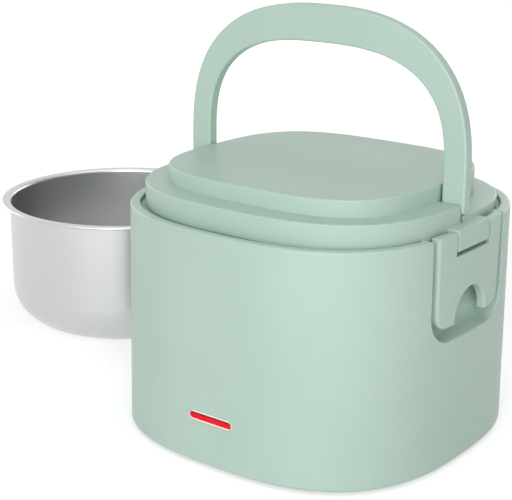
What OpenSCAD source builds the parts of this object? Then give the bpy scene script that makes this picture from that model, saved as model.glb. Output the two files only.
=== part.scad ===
// Electric lunch box: heated base, lift-off lid with two side latches and a carrying handle, and a food pot.
// The origin is the centre of the base on the table, +Z is up and the front, with the lamp slot, faces -Y.

/* [Housing] */
// Width of the housing at the rim, across the latches
body_w = 170; // [164:1:204]
// Depth of the housing at the rim, front to back
body_d = 171.4; // [164:1:206]
// Height of the rim above the table
rim_z = 113; // [108:1:136]
// How much wider the housing is at the bottom than at the rim
draft_w = 2.4; // [0:0.2:4]
// Roundness of the housing's outline, 2 is an ellipse
body_power = 2.7; // [2.4:0.1:4]
// Thickness of the housing's wall at the rim
wall = 2.8; // [2:0.1:3.2]
// Height of the housing's bottom edge above the table
base_z = 1.5; // [1:0.1:3]

/* [Latch pockets] */
// Half width of each pocket
pocket_half = 32.6; // [30.8:0.2:36]
// Depth of each pocket into the side
pocket_depth = 8.6; // [7.6:0.1:9]
// Height of the pocket's floor above the table
pocket_low = 63.2; // [55:0.5:66]
// Radius of the pocket's two lower corners
pocket_corner = 14; // [6:0.5:18]

/* [Lid] */
// Width of the lid's lower tier
tier_w = 157.4; // [150:0.2:158.4]
// Depth of the lid's lower tier
tier_d = 152; // [148:0.2:160]
// Height of the front shelf above the rim
tier_h = 9.8; // [8:0.2:14]
// Height of the back shelf above the rim, where the folded handle lies
back_h = 4.3; // [4.2:0.1:6]
// Roundness of the lower tier's outline
tier_power = 2.85; // [2.4:0.05:4]
// Width of the raised cap
cap_w = 134.4; // [120:0.2:136]
// Depth of the raised cap
cap_d = 126.6; // [116:0.2:128]
// Height of the cap above the shelf
cap_h = 8; // [7:0.2:12]
// Roundness of the cap's outline
cap_power = 3.2; // [2.4:0.05:4]
// Thickness of the lid's walls
lid_wall = 2.4; // [1.8:0.1:2.6]

/* [Handle] */
// Height of the handle's top above its pivots
handle_rise = 85.9; // [82:0.1:110]
// Thickness of the handle's bar from front to back
handle_t = 6.2; // [4.6:0.1:6.6]
// Width of the handle's top band
handle_band = 17.8; // [8:0.2:22]
// Width of each leg
handle_leg = 11.8; // [9.5:0.1:14]
// Roundness of the arch's outer edge
handle_power = 2.53; // [2.2:0.01:4]
// Roundness of the arch's inner edge
handle_inner_power = 2.78; // [2.2:0.01:4]

/* [Latches] */
// Half width of each latch plate
latch_half = 29.3; // [26:0.1:29.4]
// Thickness of the plate
latch_t = 4; // [3.8:0.1:4.6]
// Height of the plate's lower edge above the table
latch_low = 69.6; // [69:0.2:80]
// Radius of the finger arch
arch_r = 13.8; // [8:0.2:15]
// Half width of the lid's lug
lug_half = 14.4; // [10:0.2:15]
// Radius of the latch pins
latch_pin_r = 1.2; // [1:0.05:1.3]
// Radius of the handle pins
handle_pin_r = 1.8; // [1.2:0.05:2]

/* [Food pot] */
// Radius of the pot's wall
pot_r = 68.4; // [58:0.2:68.8]
// Height of the pot
pot_h = 75; // [50:0.5:78]
// Thickness of the pot's steel
pot_t = 0.8; // [0.6:0.1:1.2]
// Width of the pot's rolled rim beyond its wall
pot_lip = 4.8; // [2:0.1:5.2]
// Radius of the pot's bottom corner
pot_corner = 24; // [8:0.5:26]
// Where the pot stands beside the base
pot_place = [-178.3, 49];

/* [Base works] */
// Thickness of the base cover
cover_t = 3; // [2.6:0.1:3.6]
// Radius of the rubber feet
foot_r = 6; // [5:0.1:7]
// Thickness of the rubber feet
foot_h = 3; // [2.8:0.1:3.4]
// Radius of the base screws' shanks
screw_r = 1.5; // [1.2:0.05:1.6]
// Radius of the heater plate
plate_r = 52; // [50.5:0.5:56]
// Thickness of the heater plate
plate_t = 4; // [3:0.5:5]
// Height of the inlet's centre above the table
inlet_z = 22; // [16:0.5:26]
// Height of the lamp slot above the table
lamp_z = 24.4; // [14:0.2:40]
// Length of the lamp slot
lamp_w = 25; // [18:0.2:27]
// Height of the lamp slot's opening
lamp_h = 4.8; // [3:0.1:5]

/* [Hidden] */
$fn = 72;
gap = 0.3;
fit = 0.05;
over = 1;

// housing
half_w = body_w / 2;
half_d = body_d / 2;
draft = (body_w + draft_w) / body_w;
outline_steps = 96;
ledge_h = 2.4;
ledge_in = 3.6;
lip_in = 1.7;
deck_t = 2;
deck_top = rim_z - 2.2;
deck_low = deck_top - deck_t;
cover_in = 1.2;
cover_top = base_z + cover_t;
post_at = (half_w - wall) * 0.68;
post_r = 4;
pocket_back = half_w - pocket_depth;
pocket_wall = 2;
catch_out = 1.9;
catch_half = 9;
catch_z = 88;
catch_h = 3;

// well and pot
pot_rim_r = pot_r + pot_lip;
well_t = 1;
well_gap = 0.8;
well_r = pot_r + well_gap;
well_flange = 0.8;
well_flange_r = pot_rim_r + 1;
well_corner = pot_corner - 1;
well_floor = deck_top + pot_t - pot_h - 0.4;
well_low = well_floor - 1.2;
plate_low = well_low - plate_t;
ring_r = 38;
ring_w = 6;
ring_h = 4.5;
ring_low = plate_low - ring_h;
pad_t = 3;
pad_low = ring_low - pad_t;
pad_r = 50;
shield_t = 1.2;
shield_low = pad_low - shield_t;
shield_r = 56;
well_screw_at = 46;
well_screw_r = 1.5;
sensor_hole = 10;
sensor_r = 8;
sensor_base_r = 6.5;
sensor_low = shield_low - 3.3;
bracket_t = 1;
fuse_y = 25;
fuse_r = 2.2;
fuse_wire_r = 0.5;
fuse_z = shield_low - 3.2;
sleeve_w = 8;
terminal_at = [[-19, -32.9], [19, -32.9]];
terminal_r = 1.6;
terminal_low = shield_low - 4.3;

// lid
tier_bottom = deck_top + gap;
shelf_z = rim_z + tier_h;
back_z = rim_z + back_h;
cap_top = shelf_z + cap_h;
opening_in = 4.5;
inner_plate_t = 2;
inner_plate_z = deck_top + 3.2;
lid_post_out = pot_r - 9.8;
lid_post_turn = 43.7;
lid_post_at = [lid_post_out * cos(lid_post_turn), lid_post_out * sin(lid_post_turn)];
lid_post_r = 3.5;
lid_screw_r = 1.2;
gasket_t = 1.8;
lid_step = inner_plate_z + inner_plate_t;

// handle
pivot_z = back_z + gap + handle_t / 2;
handle_top = pivot_z + handle_rise;
leg_gap = 0.9;
leg_in = cap_w / 2 + leg_gap;
leg_out = leg_in + handle_leg;
arch_foot = pivot_z + 15.1;
step_y = -handle_t / 2 - gap;
bearing_len = 10;
bearing_wall = 1.5;

// latches
lug_low = rim_z - 8.6;
lug_top = rim_z + 1.4;
latch_top = rim_z + 0.5;
latch_pin_z = rim_z - 3.1;
latch_pin_x = half_w - 2.9;
latch_pin_reach = 23.5;
notch_half = lug_half + 1.1;
notch_low = lug_low - 1.5;

// front lamp
front_y = half_d * (1 + (draft - 1) * (rim_z - lamp_z) / (rim_z - base_z));
lens_recess = 1.3;
lens_flange_y = half_d - wall - 0.6;
lens_flange_t = 1.4;
lamp_y = -lens_flange_y + 5.2;

// inlet
inlet_open = [27.4, 15.4];
inlet_face = half_d - 0.2;
inlet_depth = 12.5;
inlet_back = 2;
inlet_flange_y = half_d - 9.2;
inlet_flange_t = 2;
inlet_screw_x = 19;
pin_spacing = 8.6;
pin_r = 1.18;
pin_tail_r = 0.9;
pin_len = 9.5;
socket_r = 4.5;

// leads and terminal block
block_y = 48;
block_depth = 14;
lead_r = 1.2;
lead_x = pin_spacing / 2;
lead_z = 12;
lamp_lead_r = 0.8;
lamp_lead_x = 3;
lamp_run_x = 11;
lamp_run_z = 8.5;

// base cover
foot_at = [post_at - 10, post_at + 8];
foot_pocket = foot_h - base_z;
foot_edge = 0.6;
screw_recess = 1.6;
screw_head_r = 3;

shell_colour = [0.72, 0.82, 0.77];
inside_colour = [0.66, 0.76, 0.71];
steel_colour = [0.76, 0.77, 0.78];
aluminium_colour = [0.82, 0.83, 0.84];
dark_colour = [0.14, 0.14, 0.15];
screw_colour = [0.55, 0.56, 0.58];
ceramic_colour = [0.9, 0.88, 0.82];

// Points of a rounded-square outline with half sizes a and b.
function squircle(a, b, power) = [
    for (i = [0:outline_steps - 1])
        let (t = 360 * i / outline_steps)
        let (r = pow(pow(abs(cos(t)) / a, power) + pow(abs(sin(t)) / b, power), -1 / power))
        [r * cos(t), r * sin(t)]
];

// How far out that outline stands at a distance y from its middle.
function side_x(y, a, b, power) = a * pow(1 - pow(min(abs(y) / b, 1), power), 1 / power);

// Points of an arc.
function arc(x, y, r, from, to, steps) = [
    for (i = [0:steps])
        let (t = from + (to - from) * i / steps)
        [x + r * cos(t), y + r * sin(t)]
];

// Points of a slot with round ends, across x.
function slot_points(length, height) = concat(
    arc((length - height) / 2, 0, height / 2, -90, 90, 12),
    arc((height - length) / 2, 0, height / 2, 90, 270, 12)
);

// Points of a rectangle with round corners.
function round_rect(w, h, r) = concat(
    arc(w / 2 - r, h / 2 - r, r, 0, 90, 5),
    arc(r - w / 2, h / 2 - r, r, 90, 180, 5),
    arc(r - w / 2, r - h / 2, r, 180, 270, 5),
    arc(w / 2 - r, r - h / 2, r, 270, 360, 5)
);

// A straight solid on the rounded-square outline, from one height to another.
module squircle_block(a, b, power, low, high) {
    translate([0, 0, low])
        linear_extrude(height = high - low)
            polygon(squircle(a, b, power));
}

// Turns a drawing in (y, z) into a solid between two places along X.
module along_x(from, to) {
    translate([from, 0, 0])
        rotate([90, 0, 90])
            linear_extrude(height = to - from)
                children();
}

// Turns a drawing in (x, z) into a solid between two places along Y.
module along_y(from, to) {
    translate([0, to, 0])
        rotate([90, 0, 0])
            linear_extrude(height = to - from)
                children();
}

// A round bar along X.
module rod_x(r, from, to, y, z) {
    translate([from, y, z])
        rotate([0, 90, 0])
            cylinder(r = r, h = to - from);
}

// A round bar along Y.
module rod_y(r, from, to, x, z) {
    translate([x, from, z])
        rotate([-90, 0, 0])
            cylinder(r = r, h = to - from);
}

// A round bar along Z.
module rod_z(r, from, to, x, y) {
    translate([x, y, from])
        cylinder(r = r, h = to - from);
}

// Copies its children to the four corners at (x, y).
module at_corners(x, y) {
    for (i = [-1, 1], j = [-1, 1])
        translate([i * x, j * y, 0])
            children();
}

// Copies its children to the right side and the left side.
module both_sides() {
    for (side = [0, 1])
        mirror([side, 0, 0])
            children();
}

// A wire that follows a list of points.
module wire(points, r) {
    for (i = [0:len(points) - 2])
        let (step = points[i + 1] - points[i])
            translate(points[i])
                rotate([0, acos(step[2] / norm(step)), atan2(step[1], step[0])])
                    cylinder(r = r, h = norm(step), $fn = 24);
    for (i = [1:len(points) - 2])
        translate(points[i])
            sphere(r = r + fit, $fn = 24);
}

// The pocket's outline in (y, z), open at the top.
module pocket_outline() {
    polygon(concat(
        [[pocket_half, rim_z + 5 * over], [-pocket_half, rim_z + 5 * over]],
        arc(pocket_corner - pocket_half, pocket_low + pocket_corner, pocket_corner, 180, 270, 10),
        arc(pocket_half - pocket_corner, pocket_low + pocket_corner, pocket_corner, 270, 360, 10)
    ));
}

// Solid block that makes the pocket's walls inside the housing.
module pocket_block() {
    side = pocket_half + pocket_wall;
    intersection() {
        squircle_block(half_w - wall / 2, half_d - wall / 2, body_power,
            pocket_low - pocket_wall - over, rim_z + over);
        union() {
            translate([pocket_back - pocket_wall, -side, pocket_low - pocket_wall])
                cube([pocket_depth + pocket_wall, 2 * side, deck_low - pocket_low + pocket_wall - fit]);
            translate([pocket_back + fit, -side, deck_low - over])
                cube([pocket_depth, 2 * side, rim_z - deck_low + over]);
        }
    }
}

module outer_housing() {
    inlet_boss_r = 3.5;
    color(shell_colour) {
        difference() {
            union() {
                difference() {
                    translate([0, 0, base_z])
                        linear_extrude(height = rim_z - base_z, scale = 1 / draft)
                            polygon(squircle(half_w * draft, half_d * draft, body_power));
                    squircle_block(half_w - wall, half_d - wall, body_power, cover_top, deck_low - ledge_h);
                    squircle_block(half_w - wall - ledge_in, half_d - wall - ledge_in, body_power,
                        deck_low - ledge_h - over, deck_low + over);
                    squircle_block(half_w - wall - lip_in, half_d - wall - lip_in, body_power,
                        deck_low, rim_z + over);
                    squircle_block(half_w - wall + cover_in, half_d - wall + cover_in, body_power,
                        base_z - over, cover_top + fit / 5);
                }
                both_sides()
                    pocket_block();
                for (side = [-1, 1])
                    rod_y(inlet_boss_r, inlet_flange_y, half_d - wall / 2, side * inlet_screw_x, inlet_z);
            }
            both_sides()
                along_x(pocket_back, half_w + 10)
                    pocket_outline();
            along_y(-half_d - 10, -half_d + 10)
                translate([0, lamp_z])
                    polygon(slot_points(lamp_w, lamp_h));
            along_y(half_d - 10, half_d + 10)
                translate([0, inlet_z])
                    polygon(round_rect(inlet_open[0], inlet_open[1], 3));
            for (side = [-1, 1])
                rod_y(lid_screw_r + fit, inlet_flange_y - over, half_d - wall, side * inlet_screw_x, inlet_z);
        }
        both_sides()
            translate([pocket_back - over, -catch_half, catch_z])
                cube([catch_out + over, 2 * catch_half, catch_h]);
    }
}

module deck_ring() {
    color(inside_colour)
    difference() {
        union() {
            squircle_block(half_w - wall - lip_in - fit, half_d - wall - lip_in - fit, body_power,
                deck_low, deck_top);
            at_corners(post_at, post_at)
                rod_z(post_r, cover_top, deck_low + over, 0, 0);
        }
        rod_z(well_r + well_t + fit, deck_low - over, deck_top + over, 0, 0);
        rod_z(well_flange_r + fit, deck_top - well_flange, deck_top + over, 0, 0);
        both_sides()
            translate([pocket_back, -pocket_half - pocket_wall - fit, deck_low - over])
                cube([pocket_depth, 2 * (pocket_half + pocket_wall + fit), deck_t + 2 * over]);
        at_corners(post_at, post_at)
            rod_z(screw_r + fit, cover_top - over, cover_top + 10, 0, 0);
    }
}

module heating_well() {
    color(aluminium_colour)
    rotate_extrude()
        polygon(concat(
            [[well_flange_r, deck_top - well_flange], [well_flange_r, deck_top], [well_r, deck_top]],
            arc(well_r - well_corner, well_floor + well_corner, well_corner, 0, -90, 8),
            [[0, well_floor], [0, well_low]],
            arc(well_r - well_corner, well_floor + well_corner, well_corner + well_t + 0.2, -90, -0.5, 8),
            [[well_r + well_t, well_floor + well_corner], [well_r + well_t, deck_top - well_flange]]
        ));
}

module heater_plate() {
    color(aluminium_colour)
    difference() {
        rod_z(plate_r, plate_low, well_low, 0, 0);
        for (turn = [0:90:270])
            rotate(turn)
                rod_z(well_screw_r + fit, plate_low - over, plate_low + plate_t * 0.75, well_screw_at, 0);
    }
}

module heating_element() {
    color(steel_colour) {
        rotate_extrude()
            translate([ring_r - ring_w / 2, ring_low])
                square([ring_w, ring_h]);
        for (place = terminal_at)
            rod_z(terminal_r, terminal_low, ring_low + over, place[0], place[1]);
    }
}

// Holes that the insulation and the shield share.
module stack_holes(low, high, screw_hole, terminal_hole) {
    rod_z(sensor_hole, low - over, high + over, 0, 0);
    for (turn = [0:90:270])
        rotate(turn)
            rod_z(screw_hole, low - over, high + over, well_screw_at, 0);
    for (place = terminal_at)
        rod_z(terminal_hole, low - over, high + over, place[0], place[1]);
}

module insulation_pad() {
    color(ceramic_colour)
    difference() {
        rod_z(pad_r, pad_low, ring_low, 0, 0);
        stack_holes(pad_low, ring_low, well_screw_r + 4 * fit, terminal_r + 1);
    }
}

module heat_shield() {
    color(steel_colour)
    difference() {
        rod_z(shield_r, shield_low, ring_low + 3, 0, 0);
        rod_z(shield_r - shield_t, pad_low, ring_low + 3 + over, 0, 0);
        stack_holes(shield_low, pad_low, well_screw_r + 4 * fit, terminal_r + 1.5);
    }
}

// A pan-headed screw pointing up.
module pan_screw(r, head_r, head_h, seat_z, top_z) {
    rod_z(head_r, seat_z - head_h, seat_z, 0, 0);
    rod_z(r, seat_z - head_h / 2, top_z, 0, 0);
}

module well_screws() {
    color(screw_colour)
    for (turn = [0:90:270])
        rotate(turn)
            translate([well_screw_at, 0, 0])
                pan_screw(well_screw_r, 3, 2, shield_low - bracket_under(turn), plate_low + plate_t / 2);
}

// The bracket lies under the two screws on the X axis.
function bracket_under(turn) = (turn % 180 == 0) ? bracket_t : 0;

module thermostat() {
    color(dark_colour) {
        rod_z(sensor_r, plate_low - 7, plate_low, 0, 0);
        rod_z(sensor_base_r, sensor_low, plate_low - 6, 0, 0);
    }
}

module thermostat_bracket() {
    strip_w = 9;
    end_x = well_screw_at + 5;
    high = shield_low;
    low = sensor_low;
    color(steel_colour)
    difference() {
        along_y(-strip_w / 2, strip_w / 2)
            polygon([
                [-end_x, high], [-14, high], [-10, low], [10, low], [14, high], [end_x, high],
                [end_x, high - bracket_t], [14.5, high - bracket_t], [10.5, low - bracket_t],
                [-10.5, low - bracket_t], [-14.5, high - bracket_t], [-end_x, high - bracket_t]
            ]);
        for (side = [-1, 1])
            rod_z(well_screw_r + 4 * fit, high - 3 * bracket_t, high + over, side * well_screw_at, 0);
    }
}

module thermal_fuse() {
    color(steel_colour) {
        rod_x(fuse_r, -6, 6, fuse_y, fuse_z);
        rod_x(fuse_wire_r, -11, 11, fuse_y, fuse_z);
    }
}

module fuse_sleeve() {
    side = 2 * (fuse_r + 1);
    color(ceramic_colour)
    difference() {
        translate([-sleeve_w / 2, fuse_y - side / 2, fuse_z - side / 2])
            cube([sleeve_w, side, side]);
        rod_x(fuse_r + 2 * fit, -sleeve_w, sleeve_w, fuse_y, fuse_z);
    }
}

module terminal_block() {
    color(ceramic_colour)
    difference() {
        translate([-17, block_y - block_depth / 2, cover_top])
            cube([34, block_depth, 13]);
        for (side = [-1, 1]) {
            rod_y(lead_r + 6 * fit, block_y - block_depth, block_y + block_depth, side * lead_x, lead_z);
            rod_y(lamp_lead_r + 4 * fit, block_y - block_depth, block_y, side * lamp_run_x, lamp_run_z);
        }
    }
}

// One mains lead, from an inlet pin through the terminal block to a heater terminal.
function lead_route(side) =
    let (tail_y = inlet_face - inlet_depth - inlet_back - 5)
    let (turn_y = block_y - block_depth / 2 - 11)
    let (end = terminal_at[side > 0 ? 1 : 0])
    [
        [side * lead_x, tail_y, inlet_z],
        [side * lead_x, tail_y - 4, inlet_z],
        [side * lead_x, tail_y - 4, lead_z],
        [side * lead_x, turn_y, lead_z],
        [end[0], turn_y, lead_z],
        [end[0], end[1], lead_z],
        [end[0], end[1], terminal_low - 0.2]
    ];

module live_lead() {
    color([0.5, 0.3, 0.18])
    wire(lead_route(-1), lead_r);
}

module neutral_lead() {
    color([0.2, 0.35, 0.7])
    wire(lead_route(1), lead_r);
}

module lamp_leads() {
    color([0.8, 0.2, 0.2])
    for (side = [-1, 1])
        wire([
            [side * lamp_lead_x, lamp_y + 2.9, lamp_z],
            [side * lamp_lead_x, lamp_y + 8, lamp_z],
            [side * lamp_lead_x, lamp_y + 8, lamp_run_z],
            [side * lamp_run_x, lamp_y + 8, lamp_run_z],
            [side * lamp_run_x, block_y - 2, lamp_run_z]
        ], lamp_lead_r);
}

module indicator_lens() {
    color([0.92, 0.1, 0.16]) {
        along_y(-front_y + lens_recess, -lens_flange_y + 0.2)
            translate([0, lamp_z])
                polygon(slot_points(lamp_w - 4 * fit, lamp_h - 4 * fit));
        along_y(-lens_flange_y, -lens_flange_y + lens_flange_t)
            translate([0, lamp_z])
                polygon(round_rect(lamp_w + 4, lamp_h + 4, 1));
    }
}

module lamp_holder() {
    face = -lens_flange_y + lens_flange_t;
    color(dark_colour)
    difference() {
        translate([-16, face, lamp_z - 5.5])
            cube([32, 8.6, 11]);
        translate([-13, face - over, lamp_z - 3.1])
            cube([26, 7.4 + over, 6.2]);
        for (side = [-1, 1])
            rod_y(lamp_lead_r + 4 * fit, face + 5, face + 10, side * lamp_lead_x, lamp_z);
    }
}

module neon_lamp() {
    color([1, 0.55, 0.4]) {
        rod_x(2.6, -9, 9, lamp_y, lamp_z);
        translate([9, lamp_y, lamp_z])
            sphere(r = 2.5);
    }
}

module inlet_socket() {
    face = inlet_face;
    floor_y = face - inlet_depth;
    back_y = floor_y - inlet_back;
    color(dark_colour)
    difference() {
        union() {
            along_y(back_y, face)
                translate([0, inlet_z])
                    polygon(round_rect(inlet_open[0] - 4 * fit, inlet_open[1] - 4 * fit, 2.9));
            along_y(inlet_flange_y - inlet_flange_t, inlet_flange_y)
                translate([0, inlet_z])
                    polygon(round_rect(2 * inlet_screw_x + 8, inlet_open[1] + 4, 2));
        }
        for (side = [-1, 1]) {
            rod_y(socket_r, floor_y, face + over, side * pin_spacing / 2, inlet_z);
            rod_y(pin_tail_r + fit / 2, back_y - over, floor_y + over, side * pin_spacing / 2, inlet_z);
            rod_y(lid_screw_r + 2 * fit, inlet_flange_y - 3 * over, inlet_flange_y + over,
                side * inlet_screw_x, inlet_z);
        }
        translate([-2, floor_y, inlet_z - 2.9])
            cube([4, inlet_depth + over, 5.8]);
    }
}

// Each pin has a shoulder on the socket's floor and a thinner tail through it.
module inlet_pins() {
    floor_y = inlet_face - inlet_depth;
    color(steel_colour)
    for (side = [-1, 1]) {
        rod_y(pin_r, floor_y, floor_y + pin_len, side * pin_spacing / 2, inlet_z);
        rod_y(pin_tail_r, floor_y - inlet_back - 4.8, floor_y + over, side * pin_spacing / 2, inlet_z);
    }
}

module inlet_screws() {
    seat = inlet_flange_y - inlet_flange_t;
    color(screw_colour)
    for (side = [-1, 1]) {
        rod_y(2.4, seat - 1.8, seat, side * inlet_screw_x, inlet_z);
        rod_y(lid_screw_r, seat - over, inlet_flange_y + 4, side * inlet_screw_x, inlet_z);
    }
}

module base_cover() {
    color(shell_colour)
    difference() {
        squircle_block(half_w - wall + cover_in - gap, half_d - wall + cover_in - gap, body_power,
            base_z, cover_top);
        at_corners(foot_at[0], foot_at[1])
            rod_z(foot_r + 2 * fit, base_z - over, base_z + foot_pocket, 0, 0);
        at_corners(post_at, post_at) {
            rod_z(screw_r + 4 * fit, base_z - over, cover_top + over, 0, 0);
            rod_z(screw_head_r + 0.4, base_z - over, base_z + screw_recess, 0, 0);
        }
    }
}

module base_screws() {
    color(screw_colour)
    at_corners(post_at, post_at)
        pan_screw(screw_r, screw_head_r, screw_recess - 0.2, base_z + screw_recess, cover_top + 8);
}

module feet() {
    color(dark_colour)
    at_corners(foot_at[0], foot_at[1]) {
        cylinder(r1 = foot_r - foot_edge, r2 = foot_r, h = foot_edge);
        rod_z(foot_r, foot_edge, foot_h, 0, 0);
    }
}

// Plan of a strip that follows the housing's side, from y = -half to half.
module side_strip(half, thick, face) {
    steps = 12;
    outer = [
        for (i = [0:steps])
            let (y = -half + 2 * half * i / steps)
            [side_x(y, face, half_d, body_power), y]
    ];
    inner = [for (i = [steps:-1:0]) [outer[i][0] - thick, outer[i][1]]];
    polygon(concat(outer, inner));
}

// A lug that reaches over the rim and carries the latch pin.
module lug() {
    bridge_low = tier_bottom + fit;
    translate([0, 0, bridge_low])
        linear_extrude(height = lug_top - bridge_low)
            side_strip(lug_half, half_w - tier_w / 2 + lid_wall / 2, half_w);
    translate([0, 0, lug_low])
        linear_extrude(height = lug_top - lug_low)
            side_strip(lug_half, latch_t + 0.3, half_w);
}

// The back part of the shelf, outside the cap, from a height up.
module back_shelf(from_y, low, cap_grow) {
    difference() {
        translate([-half_w, from_y, low])
            cube([body_w, half_d - from_y, cap_top - low]);
        squircle_block(cap_w / 2 + cap_grow, cap_d / 2 + cap_grow, cap_power, low - over, cap_top + over);
    }
}

// Blocks inside the cap that carry the handle's pins.
module bearings() {
    side = handle_pin_r + bearing_wall;
    both_sides()
        translate([cap_w / 2 - bearing_len, -side, lid_step])
            cube([bearing_len - lid_wall - gap, 2 * side, pivot_z + side - lid_step]);
}

module handle_pin_bores() {
    both_sides()
        rod_x(handle_pin_r + fit / 2, cap_w / 2 - bearing_len - over, cap_w / 2 + over, 0, pivot_z);
}

module lid_shell() {
    color(shell_colour)
    difference() {
        union() {
            difference() {
                squircle_block(tier_w / 2, tier_d / 2, tier_power, tier_bottom, shelf_z);
                squircle_block(tier_w / 2 - lid_wall, tier_d / 2 - lid_wall, tier_power,
                    tier_bottom - over, lid_step);
                difference() {
                    squircle_block(tier_w / 2 - 2 * lid_wall, tier_d / 2 - 2 * lid_wall, tier_power,
                        lid_step - over, shelf_z - lid_wall);
                    back_shelf(step_y - lid_wall, lid_step, -lid_wall);
                }
                squircle_block(cap_w / 2 - opening_in, cap_d / 2 - opening_in, cap_power,
                    shelf_z - lid_wall - over, shelf_z + over);
                back_shelf(step_y, back_z, 0);
            }
            bearings();
            both_sides()
                lug();
        }
        handle_pin_bores();
        both_sides()
            rod_y(latch_pin_r + fit / 2, -lug_half - over, lug_half + over, latch_pin_x, latch_pin_z);
    }
}

module lid_cap() {
    color(shell_colour)
    difference() {
        union() {
            difference() {
                squircle_block(cap_w / 2, cap_d / 2, cap_power, shelf_z, cap_top);
                squircle_block(cap_w / 2 - lid_wall, cap_d / 2 - lid_wall, cap_power,
                    shelf_z - over, cap_top - lid_wall);
            }
            at_corners(lid_post_at[0], lid_post_at[1])
                rod_z(lid_post_r, lid_step, cap_top - lid_wall / 2, 0, 0);
        }
        at_corners(lid_post_at[0], lid_post_at[1])
            rod_z(lid_screw_r + fit, lid_step - over, shelf_z + 1, 0, 0);
        handle_pin_bores();
    }
}

module lid_inner_plate() {
    color(inside_colour)
    difference() {
        squircle_block(tier_w / 2 - lid_wall - gap, tier_d / 2 - lid_wall - gap, tier_power,
            inner_plate_z, lid_step);
        at_corners(lid_post_at[0], lid_post_at[1])
            rod_z(lid_screw_r + 4 * fit, inner_plate_z - over, lid_step + over, 0, 0);
    }
}

module lid_gasket() {
    color([0.9, 0.9, 0.88])
    difference() {
        rod_z(pot_rim_r - 0.4, inner_plate_z - gasket_t, inner_plate_z, 0, 0);
        rod_z(pot_r - 2.2, inner_plate_z - gasket_t - over, inner_plate_z + over, 0, 0);
    }
}

module lid_screws() {
    color(screw_colour)
    at_corners(lid_post_at[0], lid_post_at[1])
        pan_screw(lid_screw_r, 2.4, 1.4, inner_plate_z, shelf_z);
}

// The two pins stand in the cap's sides, with a collar in the gap to each leg.
module handle_pins() {
    bore_end = leg_in + 7;
    color(steel_colour)
    both_sides() {
        rod_x(handle_pin_r, cap_w / 2 - bearing_len + over, bore_end, 0, pivot_z);
        rod_x(handle_pin_r + 0.9, cap_w / 2 + 0.1, leg_in - gap, 0, pivot_z);
    }
}

module latch_pins() {
    color(steel_colour)
    both_sides()
        rod_y(latch_pin_r, -latch_pin_reach, latch_pin_reach, latch_pin_x, latch_pin_z);
}

// One half of the arch's outline in (x, z): a quarter of a rounded square on a straight leg.
function arch_points(half, rise, power, foot) = [
    for (i = [0:36])
        let (t = 180 * i / 36)
        let (r = pow(pow(abs(cos(t)) / half, power) + pow(abs(sin(t)) / rise, power), -1 / power))
        [r * cos(t), foot + r * sin(t)]
];

// A bar seen along X: straight sides and a round lower end.
module bar_end(low) {
    r = handle_t / 2;
    polygon(concat(
        [[r, handle_top + over], [-r, handle_top + over]],
        arc(0, low + r, r, 180, 360, 16)
    ));
}

module handle() {
    outer_rise = handle_top - arch_foot;
    inner_rise = outer_rise - handle_band;
    outer = arch_points(leg_out, outer_rise, handle_power, arch_foot);
    inner = arch_points(leg_in, inner_rise, handle_inner_power, arch_foot);
    bottom = pivot_z - handle_t;
    color(shell_colour)
    difference() {
        intersection() {
            along_y(-handle_t, handle_t)
                polygon(concat(
                    [[leg_out, bottom]], outer, [[-leg_out, bottom], [-leg_in, bottom]],
                    [for (i = [36:-1:0]) inner[i]], [[leg_in, bottom]]
                ));
            along_x(-leg_out - over, leg_out + over)
                bar_end(pivot_z - handle_t / 2);
        }
        both_sides()
            rod_x(handle_pin_r + fit, leg_in - over, leg_in + 7.5, 0, pivot_z);
    }
}

// The latch plate's outline in (y, z): two lobes, a finger arch and a notch for the lug.
module latch_outline() {
    corner = 7;
    taper = 1.2;
    low_half = latch_half - taper;
    tip = 1.6;
    polygon(concat(
        [[latch_half, latch_top], [notch_half, latch_top], [notch_half, notch_low],
            [-notch_half, notch_low], [-notch_half, latch_top], [-latch_half, latch_top]],
        arc(corner - low_half, latch_low + corner, corner, 180, 270, 8),
        arc(-arch_r - tip, latch_low + tip, tip, 270, 360, 4),
        arc(0, latch_low + tip, arch_r, 180, 0, 20),
        arc(arch_r + tip, latch_low + tip, tip, 180, 270, 4),
        arc(low_half - corner, latch_low + corner, corner, 270, 360, 8)
    ));
}

// The plate's cross-section limits in (x, z): both edges of its top are cut back.
module latch_profile() {
    far = half_w + over;
    near = latch_pin_x - latch_t * 3;
    outer_cut = 1.6;
    inner_cut = 0.6;
    outer_x = side_x(notch_half, half_w, half_d, body_power);
    inner_x = outer_x - latch_t;
    polygon([
        [near, latch_low - over], [far, latch_low - over], [far, latch_top - outer_cut - (far - outer_x)],
        [outer_x - outer_cut, latch_top], [inner_x + inner_cut, latch_top],
        [inner_x, latch_top - inner_cut], [near, latch_top - inner_cut - (inner_x - near)]
    ]);
}

module latch() {
    hook_out = half_w - latch_t - pocket_back - catch_out - 0.4;
    hook_half = catch_half - 1;
    difference() {
        union() {
            intersection() {
                translate([0, 0, latch_low - over])
                    linear_extrude(height = latch_top - latch_low + 2 * over)
                        side_strip(latch_half + over, latch_t, half_w);
                along_x(half_w - 3 * latch_t, half_w + over)
                    latch_outline();
                along_y(-latch_half - over, latch_half + over)
                    latch_profile();
            }
            translate([half_w - latch_t - hook_out, -hook_half, catch_z - 3.6])
                cube([hook_out + over, 2 * hook_half, 3]);
        }
        rod_y(latch_pin_r + fit, -latch_pin_reach - 0.3, latch_pin_reach + 0.3, latch_pin_x, latch_pin_z);
    }
}

module latch_right() {
    color(shell_colour)
    latch();
}

module latch_left() {
    color(shell_colour)
    mirror([1, 0, 0])
        latch();
}

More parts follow.
